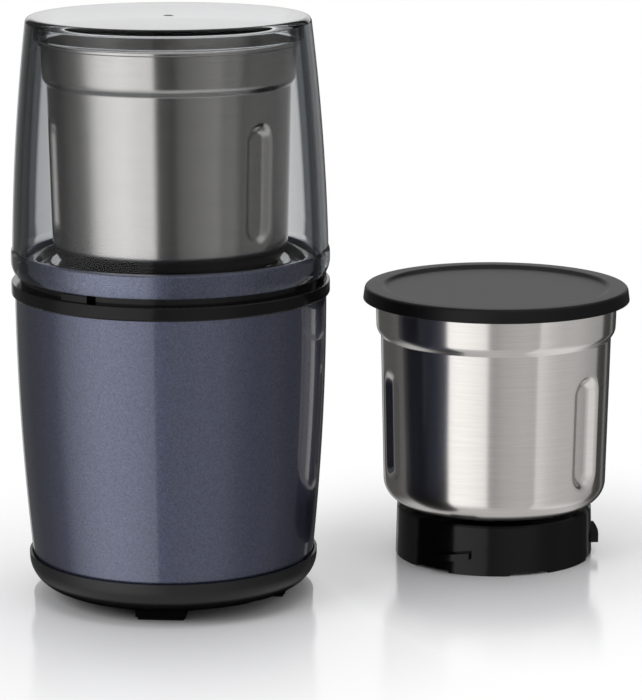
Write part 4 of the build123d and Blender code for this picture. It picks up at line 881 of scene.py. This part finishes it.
# %% [markdown]
# ## Finger hollows
# Three shallow hollows are pressed into the wall of each cup, so that wet fingers can turn it. A
# Boolean cut would leave a hole in thin sheet. Instead, every point of the wall inside a hollow is
# pushed in towards the axis, inner and outer wall alike, as the press does it, with a smooth slope
# from the edge to the middle.

# %% Press the hollows
grip_low, grip_high, grip_width = 33.0, 83.4, 17.0
grip_depth, grip_slope_width = 3.2, 5.6
grip_angles = [math.radians(-156 + 120 * i) for i in range(3)]
wall_from = 40


def press_grips(shape):
    """Presses the finger hollows into a cup's wall, deepest in the middle of each."""
    half_width = grip_width / 2
    half_length = (grip_high - grip_low) / 2 - half_width
    centre = (grip_low + grip_high) / 2
    for angle in grip_angles:
        out = Vector((math.cos(angle), math.sin(angle)))
        side = Vector((-out.y, out.x))
        for vert in shape.verts:
            reach, across = vert.co.xy.dot(out) / MM, vert.co.xy.dot(side) / MM
            up = max(abs(vert.co.z / MM - centre) - half_length, 0)
            inside = (half_width - math.hypot(across, up)) / grip_slope_width
            if reach < wall_from or inside <= 0:
                continue
            inside = min(inside, 1)
            push = out * (grip_depth * inside * inside * (3 - 2 * inside) * MM)
            vert.co.x -= push.x
            vert.co.y -= push.y


print("hollows at, degrees:", [round(math.degrees(angle)) for angle in grip_angles])

# %% [markdown]
# ## Steel cups
# Each cup is drawn from 0.9 mm sheet: a flat floor with a hole for the blade's shaft, a rounded
# corner, a wall that flares slightly, a step where it widens, and a rim rolled outwards. The lathe
# turns it, and the subdivide operator cuts the long wall into rows first, because a press can only
# move points that are there.

# %% Cup shape
cup_wall = 0.9
cup_floor, cup_rim, rim_roll = 23.0, 112.5, 1.9
hole_radius, floor_edge, mouth_radius, rim_radius = 8.9, 47.0, 50.0, 51.9
step_foot, step_head = (48.6, 94.7), (50.45, 97.3)
cup_steps, wall_rows, tall_edge = 360, 64, 40
cup_outline = [
    (hole_radius, cup_floor), (floor_edge, cup_floor, 9.4), (*step_foot, 0.25), (*step_head, 1.4),
    (50.88, cup_rim - rim_roll), (rim_radius, cup_rim - rim_roll, 0.6), (rim_radius, cup_rim, 0.9),
    (mouth_radius, cup_rim, 0.35), (step_head[0] - cup_wall, step_head[1], 1.2),
    (step_foot[0] - cup_wall, step_foot[1], 0.3),
    (floor_edge - cup_wall, cup_floor + cup_wall, 8.5), (hole_radius, cup_floor + cup_wall)]


def cup():
    """A drawn steel cup on the axis, from the bottom of its skirt."""
    shape = lathe(cup_outline, cup_steps)
    tall = [e for e in shape.edges
            if abs(e.verts[0].co.z - e.verts[1].co.z) > tall_edge * MM]
    bmesh.ops.subdivide_edges(shape, edges=tall, cuts=wall_rows, use_grid_fill=True)
    press_grips(shape)
    return shape


print("cup, mm:", 2 * rim_radius, "across the rim and", cup_rim - cup_floor, "high")

# %% [markdown]
# ## Two cups
# Both cups come from the same tool, so both are made by one function and only set down in different
# places. The second one takes the light of the card, and light linking keeps that light to it.

# %% Cups
cup_sharp = 50
set_down(cup(), "Steel_bowl", grinder_axis + bowl_seat, cup_steel, "steel_cup", cup_sharp)
second_bowl = set_down(cup(), "Second_steel_bowl", spare_axis, spare_cup_steel, "spare_steel_cup",
                       cup_sharp)
card_sees = bpy.data.collections.new("Lit by the card")
card_sees.objects.link(second_bowl)
card.light_linking.receiver_collection = card_sees

# %% [markdown]
# ## Storage cover
# The second bowl is closed by a moulded cover: a rounded cap with a shallow recessed panel, and a
# plug under it that holds inside the rim. A disc with a ring glued on would show a seam, so the cap
# and its plug are one outline, turned like the others.

# %% Storage cover
cover_top, cover_panel, cover_underside, cap_foot, plug_foot = 115.7, 114.5, 112.8, 110.0, 106.8
cap_inside, plug_outside, plug_inside = 52.3, 49.7, 47.7
cover_outline = [
    (0, cover_panel), (46.4, cover_panel, 0.8), (47.6, cover_top, 0.8), (55.4, cover_top, 1.3),
    (56.2, cap_foot, 0.4), (cap_inside, cap_foot), (cap_inside, cover_underside),
    (plug_outside, cover_underside), (plug_outside, plug_foot, 0.8), (plug_inside, plug_foot, 0.8),
    (plug_inside, cover_underside), (0, cover_underside)]
set_down(lathe(cover_outline), "Storage_cover", spare_axis, cover_abs, "storage_cover")

# %% [markdown]
# ## Moulded pieces with many details
# The tray with its vents and feet, the collar with its plunger slots, the deck with its bayonet
# grooves and the skirts with their ramped lugs are already right in the CAD frame. To model them
# again would only risk a mismatch. A copy of each is merged into one skin, because the CAD mesh is
# loose triangles, and shaded smooth between its sharp edges.

# %% Smooth copies


def smooth_copy(node, name, material, sharp=28):
    """A copy of a CAD node's mesh, merged into one skin, that stands for the node."""
    shape = bmesh.new()
    shape.from_mesh(frame["nodes"][node].data)
    bmesh.ops.remove_doubles(shape, verts=shape.verts, dist=0.001 * MM)
    return set_down(shape, name, Vector(), material, node, sharp)


copies = [
    ("base_tray", "Base_tray", satin_abs), ("foot_pads", "Foot_pads", black_rubber),
    ("cord_gland", "Cord_outlet", satin_abs), ("collar_ring", "Collar_ring", gloss_abs),
    ("deck", "Deck", gloss_abs), ("plungers", "Lid_plungers", gloss_abs),
    ("bowl_skirt", "Bowl_skirt", gloss_abs), ("spare_bowl_skirt", "Second_bowl_skirt", gloss_abs),
    ("grind_blade", "Blade", blade_steel), ("spare_grind_blade", "Second_blade", blade_steel),
]
for node, name, material in copies:
    smooth_copy(node, name, material)
print("smooth copies:", len(copies))

# %% [markdown]
# ## Springs under the lid
# Three compression springs of steel wire hold the plungers up and open the switch again. A press
# on the lid shortens them between the carrier ring and the plunger heads, and a rigid piece would
# stick out through the heads then. Their copy is given a mesh of its own.

# %% Springs
springs = smooth_copy("plunger_springs", "Lid_springs", zinc_steel)
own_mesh(springs)
